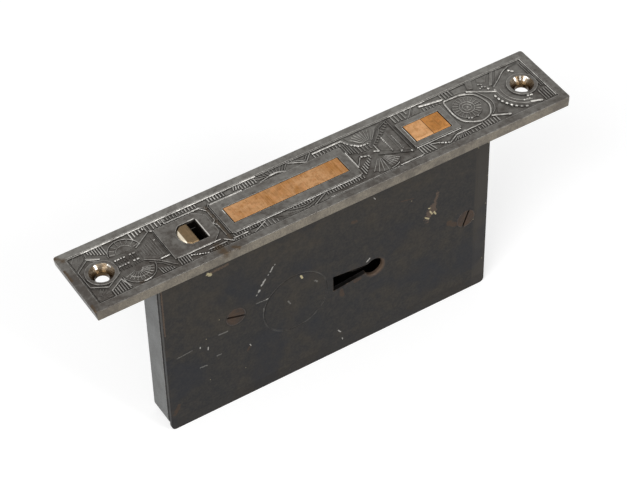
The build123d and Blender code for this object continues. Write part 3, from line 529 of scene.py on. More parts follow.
def plate_finish(name, settings):
    """Bronzed cast metal: grime and painted shade in the sunk field, bare metal on the ridges, painted
    highlights at window edges and in the countersinks, painted shade in the windows, and bronze in the
    countersinks."""
    finish = Finish(name)
    place = finish.place
    x, y, z = axes(place)
    depth = PLATE_FACE - z
    wear = finish.effect("Edge wear", Radius=0.35 * MM, Recess_Depth=0.9 * MM, Breakup=0.45)
    patches = finish.mask("Mottling", Size=11 * MM, Contrast=0.75)
    spots = finish.mask("Mottling", Size=2.2 * MM, Contrast=0.65)
    grain = finish.effect("Cast grain", Size=0.45 * MM)
    clouds = patches * 0.42 + spots * 0.44
    # Painted sheen: the plate darker towards the front and lighter towards the back.
    toward_front = ramp(y, 14, -14, smooth=False)
    clouds = (clouds + toward_front * 0.36).clamped()
    inside = ramp(abs(y), 12.6, 12.4)
    # Darker towards the left end of the field.
    left_end_darkening = ramp(x, -38, -50, to_high=0.24) * inside
    metal = mix(clouds + left_end_darkening, settings.plate_metal, settings.plate_dark)

    side = ramp(abs(y), 15.85, 15.95) * ramp(depth, 0.15, 0.4)
    brushed = finish.mask("Streaks", Angle=(0.0, 0.0, math.radians(90)), Pitch=0.6 * MM)
    edge = mix(brushed * 0.45, settings.plate_edge, settings.plate_dark)
    edge = mix(patches * 0.6, edge, settings.plate_dark)
    metal = mix(side, metal, edge)

    # Grime and painted shade: the field darker with depth and in its narrow recesses.
    low = ramp(depth, 0.1, 0.6) * 0.16
    recess_grime_and_shade = largest(wear["Recess"] * 0.9, low) * inside
    aged = mix(recess_grime_and_shade, metal, settings.grime_and_shade)
    # Grime and painted shade along dark lines of the field.
    groove_shade = finish.strokes(PLATE_GROOVE_SHADE, at=on_field, softness=0.8)
    aged = mix(groove_shade * 0.5, aged, settings.grime_and_shade)

    edges = wear["Edge"] * ramp(depth, 0.32, 0.06)
    rise = add(finish.tree, "ShaderNodeAttribute", attribute_name="rise")["Fac"]
    flecks = remap(noise(place, 1100.0, 2.0), 0.3, 0.6, to_low=0.45)
    worn_far = remap(noise(place, 170.0, 2.0), 0.36, 0.6, to_low=0.4)
    rubbed = remap(rise, 0.5, 1.0) * ramp(depth, 0.5, 0.2) * worn_far
    bright = largest(rubbed * flecks, edges * 0.5)
    worn = mix(bright, aged, settings.plate_worn_and_glint)
    stained = mix(finish.strokes(PLATE_STAINS, at=on_plate, softness=0.9) * 0.85, worn, settings.bronze_dark)
    # Painted highlights: bright lines along window edges.
    stained = mix(finish.strokes(PLATE_GLINTS, at=on_plate) * 0.8, stained, settings.plate_worn_and_glint)

    from_hole = abs(x) - HOLE_X * MM
    radius = distance(from_hole, y)
    cone = ramp(radius, COUNTERSINK + 0.05, COUNTERSINK - 0.1) * ramp(depth, 0.02, 0.15)
    turn = maths("ARCTAN2", y, from_hole)
    chatter = noise(add(finish.tree, "ShaderNodeCombineXYZ", {"X": turn})[0], 3.0, 2.0)
    bronze = mix(spots, settings.bronze, settings.bronze_dark)
    bronze = mix(ramp(depth, 0.9, 2.4), bronze, settings.bronze_dark)
    # Painted highlights in the countersinks.
    bronze = mix(finish.strokes(CONE_GLINTS, at=on_cone) * 0.85, bronze, settings.plate_worn_and_glint)
    dressed = mix(cone, stained, bronze)
    # Old grease and painted shade: the deep parts of the windows painted black.
    window = ramp(abs(x), 80, 79) * inside
    deep = ramp(depth, 0.8, 1.5) * window * ramp(z, 0.0, 0.1)
    finish.set(Base_Color=mix(deep, dressed, settings.grease_and_shade_black))
    finish.set(Metallic=(largest(cone, bright) * 0.4 + 0.55).clamped(), Specular_IOR_Level=0.4)
    rough = recess_grime_and_shade * 0.3 + grain["Roughness"] - cone * 0.2
    finish.set(Roughness=(rough + 0.4).clamped())
    finish.bump(grain["Height"] * 0.05 + chatter * cone * 0.12, 1.0 * MM, wear["Soft Normal"])
    return finish


def cover_finish(name, settings):
    """Dark oxide with the bare scratches, rust spots and worn keyhole rim of long use, the rim painted
    lighter on its lit side, painted sheen on the right bevel and the left edge, painted shade in the keyhole
    slot, and darker towards the bottom edge. The
    material is nearly as large as it may be: with six more marks the whole cover renders black."""
    finish = Finish(name)
    place = finish.place
    x, y, z = axes(place)
    wear = finish.effect("Edge wear", Radius=0.3 * MM, Recess_Depth=1.5 * MM, Breakup=0.7)
    clouds = finish.mask("Mottling", Size=26 * MM, Contrast=0.85)
    spots = finish.mask("Mottling", Size=3.6 * MM, Contrast=0.5)
    grain = finish.effect("Cast grain", Size=0.35 * MM)
    # Painted sheen: a lighter band along the right bevel.
    band = ramp(x, 64.4, 66.0) * 0.7
    fine = remap(noise(place, 900.0), 0.4, 0.62)
    spots = spots * 0.34 + fine * 0.2
    brown = clouds * 0.42 + spots
    brown = (brown + ramp(z, -38, -6) * 0.3).clamped()
    oxide = mix(largest(brown, band), settings.cover_black, settings.cover_brown)
    blued = remap(noise(place, 48.0, 2.0), 0.5, 0.66, to_high=0.45)
    oxide = mix(blued, oxide, settings.cover_blue)

    scratches, faint, chips, rust_spots, haze_and_edge_sheen, rim_ring = (
        finish.strokes(marks) for marks in (SCRATCHES, FAINT_SCRATCHES, CHIPS, RUST_SPOTS, HAZE_AND_EDGE_SHEEN, KEYHOLE_RUB_AND_LIGHT))
    screw_dirt = finish.strokes(SCREW_DIRT, softness=0.3)
    from_mark = distance(*(value - middle * MM for value, middle in zip((x, z), MARK_RING)))
    outline = between(from_mark, MARK_RADIUS - 0.4, MARK_RADIUS + 0.1, blur=0.3)
    outline = outline * remap(noise(place, 260.0), 0.4, 0.62, to_low=0.2)
    diagonal = KEYHOLE[0] - KEYHOLE[1]
    lit_side = ramp(x - z, diagonal - 3.0, diagonal + 3.0) * 0.65 + 0.25
    worn_edge = wear["Edge"] * ramp(from_mark, MARK_RADIUS + 0.8, MARK_RADIUS + 1.2)

    coat = mix(worn_edge * 0.3, oxide, settings.keyhole_rim)
    coat = mix(screw_dirt * 0.4, coat, settings.grease_and_shade_black)
    # Haze, and a painted highlight along the cover's left edge.
    coat = mix(haze_and_edge_sheen * 0.3, coat, settings.keyhole_rim)
    # Rubbed metal round the keyhole, painted lighter towards the lower right as its lit inner wall.
    coat = mix(rim_ring * lit_side, coat, settings.keyhole_rim)
    coat = mix(rust_spots * 0.22, coat, settings.rust)
    coat = mix(largest(faint * 0.28, outline * 0.15), coat, settings.cover_scratch)
    specks = finish.mask("Specks", Spacing=5 * MM, Radius=0.26 * MM, Share=0.3)
    coat = mix(specks * 0.4, coat, settings.cover_chip)
    coat = mix(chips * 0.85, coat, settings.cover_chip)
    coat = mix(scratches * 0.9, coat, settings.cover_scratch)
    # Darker towards the bottom edge.
    coat = mix(ramp(z, -80.8, -82.6) * 0.4, coat, settings.grease_and_shade_black)
    # Painted shade: the inner walls of the keyhole slot painted black.
    slot = between(x, 0.0, 15.2, blur=0.4) * between(z, -54.0, -43.0)
    slot = slot * remap(y, COVER_FACE + 0.05 * MM, COVER_FACE + 0.3 * MM) * ramp(x, 14.0, 9.0, to_low=0.5)
    finish.set(Base_Color=mix(slot, coat, shade(settings.grease_and_shade_black, 0.3)), Specular_IOR_Level=0.16,
               Roughness=(clouds * 0.12 + 0.46).clamped())
    finish.bump(grain["Height"], 0.02 * MM, wear["Soft Normal"])
    return finish


def case_finish(name, settings):
    """Mottled light grey casting with a fine grain, corners darkened as grime and painted shade, and black
    inside with old grease and painted shade.
    """
    finish = Finish(name)
    wear = finish.effect("Edge wear", Radius=0.4 * MM, Recess_Depth=3 * MM, Breakup=0.5)
    patches = finish.mask("Mottling", Size=9 * MM, Contrast=0.2)
    grain = finish.effect("Cast grain", Size=0.6 * MM)
    coat = mix(patches, settings.case_grey, settings.case_dark)
    # Grime and painted shade in the inner corners.
    coat = mix(wear["Recess"] * 0.5, coat, settings.grime_and_shade)
    coat = mix(wear["Edge"] * 0.3, coat, settings.plate_worn_and_glint)
    # Old grease and painted shade: the inside of the case painted black.
    inside = 1.0
    for value, (low, high) in zip(axes(finish.place), CASE_INSIDE):
        inside = inside * between(value, low - 0.1, high + 0.1)
    finish.set(Base_Color=mix(inside, coat, settings.grease_and_shade_black), Metallic=0.3, Specular_IOR_Level=0.3,
               Roughness=(grain["Roughness"] + 0.58).clamped())
    finish.bump(grain["Height"], 0.06 * MM, wear["Soft Normal"])
    return finish


def brass_finish(name, settings, first, second, streak_turn, metallic=0.9, handled=(), bright=(),
                 polish_and_highlight_x=None):
    """Old brass in patches of two colours, with fine streaks. Handled places turn to the second colour,
    painted highlights along the bright marks turn pale, and the end beyond the given line turns pale, polish
    with a painted highlight."""
    finish = Finish(name)
    wear = finish.effect("Edge wear", Radius=0.25 * MM, Recess_Depth=0.8 * MM, Breakup=0.5)
    patches = finish.mask("Mottling", Size=6 * MM, Contrast=0.92)
    blotches = finish.mask("Mottling", Size=2.2 * MM, Contrast=0.92)
    streaks = finish.mask("Streaks", Angle=(0.0, 0.0, streak_turn), Pitch=0.35 * MM)
    toned = patches * 0.6
    if handled:
        toned = largest(toned, finish.strokes(handled, at=on_plate, softness=1.0) * 0.9)
    metal = mix(toned, first, second)
    metal = mix(blotches * 0.55, metal, shade(second, 0.66))
    pale = shade(first, 1.2, lift=0.03)
    flushed = tuple(level * share for level, share in zip(first, (1.16, 0.92, 0.82)))
    metal = mix(remap(noise(finish.place, 520.0), 0.5, 0.7) * 0.35, metal, flushed)
    metal = mix(streaks * 0.32, metal, pale)
    # Grime and painted shade in the inner corners.
    metal = mix(wear["Recess"] * 0.6, metal, settings.grime_and_shade)
    metal = mix(wear["Edge"] * 0.3, metal, pale)
    # Painted highlights along the given marks.
    if bright:
        metal = mix(finish.strokes(bright, at=on_plate) * 0.7, metal, pale)
    # Polish with a painted highlight: the end beyond the given line turns pale.
    if polish_and_highlight_x is not None:
        metal = mix(ramp(axes(finish.place)[0], polish_and_highlight_x + 0.15, polish_and_highlight_x - 0.15), metal, settings.brass_polish_and_highlight)
    finish.set(Base_Color=metal, Metallic=metallic, Roughness=streaks * 0.12 + 0.36)
    finish.bump(streaks, 0.012 * MM, wear["Soft Normal"])
    return finish


def steel_finish(name, settings, metal, roughness=0.42, rust=0.15, metallic=0.7):
    """Plain steel with filing streaks, patches of rust, and inner corners darkened as grime and painted
    shade.
    """
    finish = Finish(name)
    wear = finish.effect("Edge wear", Radius=0.2 * MM, Recess_Depth=1.5 * MM, Breakup=0.5)
    patches = finish.mask("Mottling", Size=5 * MM, Contrast=0.4)
    streaks = finish.mask("Streaks", Angle=(0.0, 0.3, 0.5), Pitch=0.3 * MM)
    body = mix(patches, metal, shade(metal, 0.6))
    body = mix(patches * rust, body, settings.rust)
    # Grime and painted shade in the inner corners.
    body = mix(wear["Recess"] * 0.4, body, settings.grime_and_shade)
    finish.set(Base_Color=mix(wear["Edge"] * 0.5, body, shade(metal, 1.5, lift=0.05)), Metallic=metallic,
               Roughness=streaks * 0.14 + roughness)
    finish.bump(streaks, 0.01 * MM, wear["Soft Normal"])
    return finish


# The cast pattern

def turns(start, end, steps):
    """Cosine and sine of the angles from start to end, in degrees."""
    angles = (math.radians(start + (end - start) * index / steps) for index in range(steps + 1))
    return [(math.cos(angle), math.sin(angle)) for angle in angles]


def ways(start, end, steps):
    """Directions in the plate's plane from one angle to another, in degrees."""
    return [Vector(turn) for turn in turns(start, end, steps)]


def catmull_rom(before, start, end, after, t):
    """The place at share t of the smooth curve from start to end."""
    return 0.5 * (2 * start + (end - before) * t + (2 * before - 5 * start + 4 * end - after) * t * t
                  + (3 * start - before - 3 * end + after) * t ** 3)


class Relief:
    """Raised lines and flats of a cast pattern, in millimetres on the plate. A line is a run of centre
    points with a width and a rise, and a flat is an outline with a rise, both as shares of the field's
    depth."""

    ARC_STEP, SECTOR_STEP, CURVE_STEPS = 9, 10, 5
    BEAD_HALVES, BEAD_DROPS = (0.36, 0.5, 0.3), (0.0, 0.08, 0.04)

    def __init__(self, ridge, bar, pitch):
        self.ridge, self.bar, self.pitch = ridge, bar, pitch
        self.points, self.edges, self.widths, self.rises, self.flats = [], [], [], [], []

    def run(self, points, width, rise):
        first = len(self.points)
        self.points += [Vector(p) for p in points]
        self.edges += [(first + i, first + i + 1) for i in range(len(points) - 1)]
        self.widths += [width] * len(points)
        self.rises += [min(rise, HIGHEST_RISE) + RISE_STEP * (first % RISE_LEVELS)] * len(points)

    def line(self, *points, width=None, rise=0.95):
        """Straight ridges from point to point, each a little longer than its run so that corners close."""
        width = width or self.ridge
        for start, end in zip(points, points[1:]):
            start, end = Vector(start), Vector(end)
            push = (end - start).normalized() * width * 0.3
            self.run([start - push, end + push], width, rise)

    def curve(self, *points, width=None, rise=0.95):
        """One ridge that bends through the points."""
        knots = [Vector(p) for p in points]
        knots = [2 * knots[0] - knots[1], *knots, 2 * knots[-1] - knots[-2]]
        smooth = [catmull_rom(*four, step / self.CURVE_STEPS)
                  for four in zip(knots, knots[1:], knots[2:], knots[3:]) for step in range(self.CURVE_STEPS)]
        self.run([*smooth, knots[-2]], width or self.ridge, rise)

    def arc(self, centre, radius, start, end, width=None, rise=0.95):
        """A ridge round part of a circle, from one angle to another in degrees."""
        steps = max(6, int(abs(end - start) / self.ARC_STEP))
        points = [(centre[0] + radius * cos, centre[1] + radius * sin)
                  for cos, sin in turns(start, end, steps)]
        self.run(points, width or self.ridge, rise)

    def hatch(self, low_start, low_end, high_start, high_end, pitch=None, width=None, rise=0.74):
        """Bars side by side, from the low line across to the high line."""
        low, high = (Vector(low_start), Vector(low_end)), (Vector(high_start), Vector(high_end))
        reach = max((low[1] - low[0]).length, (high[1] - high[0]).length)
        count = max(1, round(reach / (pitch or self.pitch)))
        for index in range(count + 1):
            share = index / count
            self.run([low[0].lerp(low[1], share), high[0].lerp(high[1], share)], width or self.bar, rise)

    def box_hatch(self, x0, x1, y0, y1, **settings):
        """Upright bars that fill a rectangle."""
        self.hatch((x0, y0), (x1, y0), (x0, y1), (x1, y1), **settings)

    def rays(self, centre, inner, outer, start, end, count, width=None, rise=0.8):
        """Bars that point away from a centre."""
        for way in ways(start, end, count - 1):
            self.run([Vector(centre) + way * inner, Vector(centre) + way * outer], width or self.bar, rise)

    def beads(self, *points, size=0.9, rise=1.0):
        """Short lumps along a line, as worn ridges break into."""
        for start, end in zip(points, points[1:]):
            start, end = Vector(start), Vector(end)
            count = max(1, round((end - start).length / (size * 1.25)))
            for index in range(count):
                middle = start.lerp(end, (index + 0.5) / count)
                half = (end - start).normalized() * size * self.BEAD_HALVES[index % 3]
                self.run([middle - half, middle + half], size * 0.85, rise - self.BEAD_DROPS[index % 3])

    def flat(self, *points, rise=0.3):
        """A raised flat with the given outline."""
        outline = [Vector(p) for p in points]
        area = sum(a.x * b.y - b.x * a.y for a, b in zip(outline, outline[1:] + outline[:1]))
        self.flats.append((outline if area > 0 else outline[::-1], rise))

    def sector(self, centre, inner, outer, start, end, rise=0.3):
        """A flat between two arcs, or a slice of a disc where the inner radius is 0."""
        spread = ways(start, end, max(4, int(abs(end - start) / self.SECTOR_STEP)))
        outside = [Vector(centre) + way * outer for way in spread]
        inside = [Vector(centre) + way * inner for way in reversed(spread)] if inner else [Vector(centre)]
        self.flat(*outside, *inside, rise=rise)


def draw_borders(relief):
    """Lips along the field's edges, and the bright lips below the panels."""
    for start, end, width, rise in (
            ((-92.0, 12.35), (-20.5, 12.4), 0.75, 0.94), ((-98.0, 12.35), (-92.0, 12.35), 0.5, 0.74),
            ((-20.5, 12.4), (98.0, 12.4), 0.4, 0.68), ((37.8, 12.35), (54.0, 12.35), 0.55, 0.84),
            ((97.95, 12.3), (97.95, -11.6), 0.6, 0.84), ((-98.0, 12.3), (-98.0, -12.3), 0.4, 0.6),
            ((27.9, -11.9), (37.4, -11.9), 0.5, 0.84), ((-3.0, -12.15), (27.0, -12.1), 0.4, 0.74)):
        relief.line(start, end, width=width, rise=rise)
    relief.beads((-3.0, -12.1), (-1.0, -12.1), size=0.8, rise=0.88)
    for start, end, y in ((-64.4, -47.2, -8.5), (-41.2, 12.4, -8.5), (37.8, 57.0, -7.6)):
        relief.line((start, y), (end, y), width=0.45, rise=0.84)


def draw_left_end(relief):
    """Six-sided frame of the left screw hole, two half fans, the band and the open funnel."""
    upper_fan, lower_fan = (-78.6, 4.6), (-78.6, -5.0)
    hexagon = [(-97.4, 4.5), (-92.0, 8.4), (-84.9, 2.7), (-85.1, -3.4), (-91.5, -7.3), (-97.2, -4.1)]
    relief.line(*hexagon, hexagon[0], width=0.45, rise=0.72)
    relief.line((-92.0, 8.9), (-87.9, 6.5), width=0.9, rise=0.74)
    relief.flat((-97.6, 5.4), (-92.5, 9.1), (-92.0, 11.7), (-97.6, 11.7))
    relief.line((-97.4, 9.7), (-95.6, 11.8), width=0.4, rise=0.66)
    relief.line((-95.8, 7.4), (-93.6, 11.4), width=0.35, rise=0.62)
    relief.line((-91.7, 9.1), (-91.2, 12.2), width=0.4, rise=0.66)
    relief.hatch((-90.2, 10.2), (-84.4, 6.9), (-90.2, 11.8), (-84.4, 11.8), rise=0.76)
    relief.sector(upper_fan, 0, 6.0, 6, 174)
    relief.arc(upper_fan, 6.4, 4, 176, width=0.4, rise=0.72)
    relief.arc(upper_fan, 3.4, 20, 160, width=0.4, rise=0.7)
    relief.rays(upper_fan, 3.8, 5.8, 12, 168, 8, width=0.4, rise=0.7)
    relief.sector(lower_fan, 0, 6.2, 182, 358)
    relief.arc(lower_fan, 6.6, 184, 260, width=0.4, rise=0.66)
    relief.arc(lower_fan, 6.6, 260, 290, width=0.5, rise=0.82)
    relief.arc(lower_fan, 6.6, 290, 356, width=0.4, rise=0.7)
    relief.arc(lower_fan, 4.2, 200, 340, width=0.4, rise=0.7)
    relief.rays(lower_fan, 1.4, 5.8, 196, 344, 11, width=0.4, rise=0.7)
    for y in (2.6, -0.75):
        relief.beads((-84.2, y), (-79.6, y), size=1.0, rise=0.9)
        relief.beads((-78.5, y), (-75.6, y), size=1.0, rise=0.9)
        relief.box_hatch(-84.0, -79.6, y - 2.0, y - 0.9, pitch=1.0, width=0.5, rise=0.5)
        relief.box_hatch(-78.4, -75.6, y - 2.0, y - 0.9, pitch=1.0, width=0.5, rise=0.5)
    relief.line((-74.4, 4.3), (-66.5, 9.3), width=0.6, rise=0.72)
    relief.line((-74.7, -2.3), (-70.1, -5.7), (-65.8, -10.9), width=0.45, rise=0.64)
    relief.line((-73.6, -4.2), (-69.8, -7.5), (-67.2, -11.6), width=0.4, rise=0.58)
    relief.flat((-74.6, 3.0), (-74.6, -1.2), (-69.8, -4.5), (-66.6, -4.5), (-66.6, 8.0))
    relief.hatch((-73.2, -1.0), (-67.4, -4.0), (-73.2, 3.0), (-67.4, 6.4), pitch=1.1, width=0.45, rise=0.6)
    relief.line((-69.4, -5.2), (-66.1, -5.2), width=0.6, rise=0.85)
    relief.beads((-67.8, 4.2), (-66.4, 4.2), size=0.8, rise=0.85)
    relief.flat((-70.6, -6.4), (-66.4, -6.4), (-66.4, -9.2))
    relief.hatch((-73.4, 8.4), (-68.0, 10.6), (-73.4, 11.7), (-68.0, 11.7), pitch=1.3, width=0.7, rise=0.88)
    relief.box_hatch(-67.2, -59.9, 9.2, 11.7, pitch=1.35, rise=0.86)
    relief.line((-65.7, 8.6), (-65.7, -5.9), width=0.3, rise=0.6)
    relief.beads((-66.4, 9.0), (-65.4, 8.4), size=1.2)
    relief.line((-91.3, -12.2), (-91.3, -9.4), (-86.1, -6.3), width=0.5, rise=0.8)
    relief.hatch((-90.3, -12.1), (-85.2, -12.1), (-90.3, -9.4), (-85.2, -6.6))
    relief.line((-86.0, -6.8), (-84.7, -11.0), width=0.7, rise=0.86)
    relief.flat((-97.6, -12.1), (-91.9, -12.1), (-91.9, -9.0), (-97.6, -5.0), rise=0.35)
    relief.sector((-97.0, -10.6), 0, 0.9, 0, 350, rise=0.55)
    relief.rays((-97.0, -10.6), 1.4, 4.9, -12, 58, 6, width=0.55, rise=0.55)
    relief.hatch((-72.0, -12.0), (-67.6, -12.0), (-72.4, -8.6), (-67.8, -11.0), rise=0.7)


def draw_thumb_frame(relief):
    """Lines round the thumb piece's panel, with the pointed joint to the pull's panel."""
    relief.line((-60.0, 9.3), (-46.0, 9.3), width=0.75, rise=1.0)
    relief.line((-60.0, 9.3), (-60.0, 11.6), width=0.5, rise=0.9)
    relief.line((-46.0, 9.3), (-44.0, 6.6), (-44.0, 0.9), (-45.4, -0.2), width=0.45, rise=0.82)
    relief.line((-43.0, 0.9), (-44.3, -1.6), (-44.1, -7.6), width=0.45, rise=0.82)
    relief.beads((-45.4, -0.2), (-44.1, -1.6), size=0.7, rise=0.92)
    relief.line((-42.5, 7.9), (-42.5, -7.6), width=0.35, rise=0.7)
    relief.line((-45.7, 9.8), (-43.4, 7.6), (-41.6, 9.6), width=0.4, rise=0.74)
    relief.flat((-45.6, 11.7), (-45.2, 9.9), (-43.4, 8.1), (-41.8, 9.9), (-41.6, 11.7))
    relief.box_hatch(-60.6, -46.4, 10.2, 11.7, pitch=1.35, rise=0.76)
    relief.box_hatch(-64.6, -60.6, -12.1, -9.0, rise=0.8)
    relief.beads((-60.0, -9.5), (-53.6, -12.1), size=0.8, rise=0.9)
    relief.line((-53.0, -10.6), (-45.6, -10.6), width=0.5, rise=0.72)
    relief.box_hatch(-52.6, -45.8, -12.1, -11.2, rise=0.6)
    relief.flat((-59.4, -8.9), (-53.0, -11.7), (-52.8, -9.6), (-46.2, -9.6), (-46.2, -8.9))
    relief.line((-46.0, -9.0), (-43.2, -11.6), (-41.8, -10.2), width=0.45, rise=0.76)


def draw_pull_frame(relief):
    """Lines and hatching round the long panel of the pull."""
    relief.line((-41.6, 8.7), (-28.4, 8.7), width=0.9, rise=1.0)
    relief.beads((-27.0, 8.4), (-22.7, 8.4), size=0.75, rise=0.86)
    relief.box_hatch(-40.9, -34.9, 9.8, 11.7, pitch=1.2, rise=0.92)
    relief.flat((-34.2, 9.6), (-31.2, 9.6), (-31.2, 11.7), (-34.2, 11.7))
    relief.hatch((-30.5, 10.2), (-28.4, 10.2), (-29.9, 11.7), (-27.8, 11.7), rise=0.92)
    relief.box_hatch(-27.3, -21.4, 9.2, 11.7, rise=0.78)
    relief.curve((-20.6, 8.5), (-17.8, 9.2), (-15.4, 9.7), width=0.6, rise=0.72)
    relief.curve((-15.6, 9.7), (-12.4, 9.75), (-9.5, 8.5), width=0.85, rise=1.0)
    relief.hatch((-19.4, 9.9), (-9.4, 9.5), (-22.0, 11.8), (-7.3, 11.8), pitch=1.5, width=0.75, rise=0.58)
    relief.line((-6.8, 11.9), (-0.4, 8.5), width=0.5, rise=0.76)
    relief.line((-0.4, 8.5), (2.9, 11.7), width=0.5, rise=0.74)
    relief.line((-5.0, 11.9), (-0.4, 9.7), (1.6, 11.7), width=0.4, rise=0.7)
    relief.flat((-3.8, 11.8), (-0.4, 10.3), (1.0, 11.8))
    relief.box_hatch(-42.0, -31.0, -10.1, -8.9, rise=0.66)
    relief.hatch((-17.0, -9.9), (-8.8, -9.9), (-17.0, -8.9), (-8.8, -8.9), rise=0.74)
    relief.box_hatch(-2.6, 12.9, -10.4, -8.9, rise=0.72)
    relief.line((-42.7, -10.6), (-37.0, -10.6), width=0.6, rise=0.82)
    relief.box_hatch(-42.4, -37.2, -12.1, -11.3, rise=0.7)
    relief.flat((-36.2, -12.1), (-34.6, -12.1), (-29.6, -9.6), (-30.2, -10.4), (-36.2, -10.4), rise=0.4)
    relief.line((-34.8, -12.1), (-28.8, -9.2), width=0.45, rise=0.78)
    triangle_left, bar_step, peak, foot, top, fall = -30.9, 1.5, 1.6, -12.1, 2.9, 0.62
    for bar in range(5):
        x = triangle_left + bar_step * bar
        relief.line((x, foot + 0.1), (x, foot + top - fall * abs(bar - peak)), width=0.7, rise=0.66)
    relief.flat((-25.6, -9.2), (-18.8, -12.1), (-14.4, -12.1), (-19.6, -9.0))
    relief.curve((-19.0, -9.2), (-13.0, -10.6), (-9.0, -9.6), (-7.0, -8.6), width=0.45, rise=0.62)
    relief.curve((-20.0, -10.4), (-13.0, -11.8), (-8.4, -10.6), (-5.6, -9.0), width=0.4, rise=0.6)
    relief.line((-9.5, -12.1), (-3.4, -9.0), width=0.5, rise=0.7)
    relief.flat((-8.4, -12.1), (-3.6, -12.1), (-3.2, -9.6))


def draw_middle(relief):
    """The crossed fans and the big triangle between the pull and the bolt."""
    upper_fan, lower_fan = (24.3, 3.4), (23.8, -2.6)
    relief.line((3.6, 10.9), (15.9, 10.9), width=0.8, rise=0.98)
    relief.beads((15.9, 10.9), (16.8, 8.8), (18.6, 6.5), (20.4, 4.9), (24.2, 4.4), size=1.15)
    relief.box_hatch(3.6, 14.4, 8.6, 10.2, pitch=1.35, rise=0.72)
    relief.hatch((14.6, 3.6), (17.2, 2.6), (14.6, 9.9), (17.2, 7.4), pitch=1.3, width=0.7, rise=0.6)
    relief.hatch((18.2, 1.8), (23.6, 1.6), (18.2, 5.6), (23.6, 3.6), pitch=1.5, width=0.75, rise=0.62)
    relief.sector(upper_fan, 1.6, 8.4, 43, 134)
    relief.flat((17.6, 11.6), (18.4, 9.0), (24.0, 9.4), (30.0, 9.6), (34.0, 11.6))
    relief.rays(upper_fan, 2.6, 8.2, 130, 48, 9, width=0.45, rise=0.72)
    relief.line((25.6, 3.0), (30.6, 7.4), (31.4, 9.2), (36.2, 11.5), width=0.4, rise=0.62)
    relief.hatch((26.4, 2.4), (35.6, 9.4), (25.9, 3.0), (35.0, 10.8), pitch=1.5, width=0.6, rise=0.6)
    relief.line((24.0, -2.6), (35.7, -7.9), width=0.4, rise=0.6)
    relief.line((36.1, 11.2), (36.1, -8.0), width=0.35, rise=0.62)
    relief.flat((25.8, 1.6), (25.8, -1.2), (35.3, -6.6), (35.3, 8.6))
    relief.beads((29.5, 4.6), (29.5, -4.0), size=0.8, rise=0.93)
    relief.line((32.3, 6.0), (32.3, -5.0), width=0.35, rise=0.62)
    relief.beads((33.4, 3.4), (33.4, -5.0), size=0.7, rise=0.84)
    relief.beads((31.6, -5.4), (32.8, -5.6), size=1.2, rise=0.95)
    relief.beads((35.4, -6.8), (35.4, -8.2), size=0.9, rise=0.95)
    relief.beads((23.0, -0.1), (25.2, -1.3), size=1.2)
    relief.line((25.0, 2.6), (25.0, -1.2), width=0.4, rise=0.86)
    relief.beads((17.3, 0.0), (21.0, -1.4), size=1.1, rise=0.9)
    relief.line((13.9, 4.5), (13.9, -4.4), width=0.7, rise=1.0)
    relief.flat((14.8, 1.8), (14.8, -2.8), (17.2, 0.4), (21.2, 0.6))
    relief.line((14.0, -4.4), (17.1, -0.5), width=0.45, rise=0.78)
    relief.hatch((14.6, -9.0), (20.6, -2.6), (14.6, -5.2), (20.6, -1.6), pitch=1.5, width=0.65, rise=0.74)
    relief.sector(lower_fan, 1.6, 8.9, 222, 268)
    relief.rays(lower_fan, 2.4, 9.2, 228, 264, 4, width=0.5, rise=0.72)
    relief.sector(lower_fan, 1.6, 8.2, 274, 322)
    relief.arc(lower_fan, 6.2, 274, 322, width=0.4, rise=0.7)
    relief.rays(lower_fan, 2.4, 8.0, 280, 318, 5, width=0.4, rise=0.7)
    relief.arc(lower_fan, 8.8, 272, 300, width=0.4, rise=0.78)
    relief.flat((28.4, -9.8), (30.6, -7.6), (34.8, -9.0), (35.4, -10.8), (28.6, -10.8))


def draw_bolt_frame(relief):
    """Hatching and bars round the bolt's panel."""
    relief.box_hatch(38.6, 43.1, 8.2, 11.8, pitch=1.5, width=0.75, rise=0.7)
    relief.line((44.6, 10.2), (44.6, 11.8), width=0.7, rise=0.7)
    relief.line((47.9, 12.2), (44.3, 8.0), width=0.45, rise=0.74)
    relief.flat((45.6, 8.2), (50.0, 8.2), (50.0, 11.7), (48.6, 11.7))
    relief.hatch((38.1, -11.9), (43.6, -11.9), (38.1, -8.1), (42.6, -8.1), pitch=1.35, width=0.65, rise=0.74)
    relief.line((43.2, -8.6), (45.6, -9.4), width=0.5, rise=0.74)
    relief.beads((45.6, -9.4), (49.6, -11.8), size=1.0, rise=0.96)
    relief.line((49.6, -11.9), (54.3, -9.4), (58.0, -9.2), width=0.45, rise=0.84)
    relief.flat((44.8, -8.0), (47.6, -9.4), (49.8, -10.9), (53.4, -9.0), (57.0, -8.6), (57.0, -8.0))
    relief.hatch((51.6, -12.1), (57.6, -12.1), (54.0, -10.4), (57.6, -10.2), rise=0.7)
    relief.line((50.9, 10.8), (59.9, 9.3), width=1.1, rise=1.0)
    relief.hatch((51.4, 7.6), (58.4, 7.6), (51.4, 9.6), (58.4, 8.6), pitch=1.35, rise=0.66)


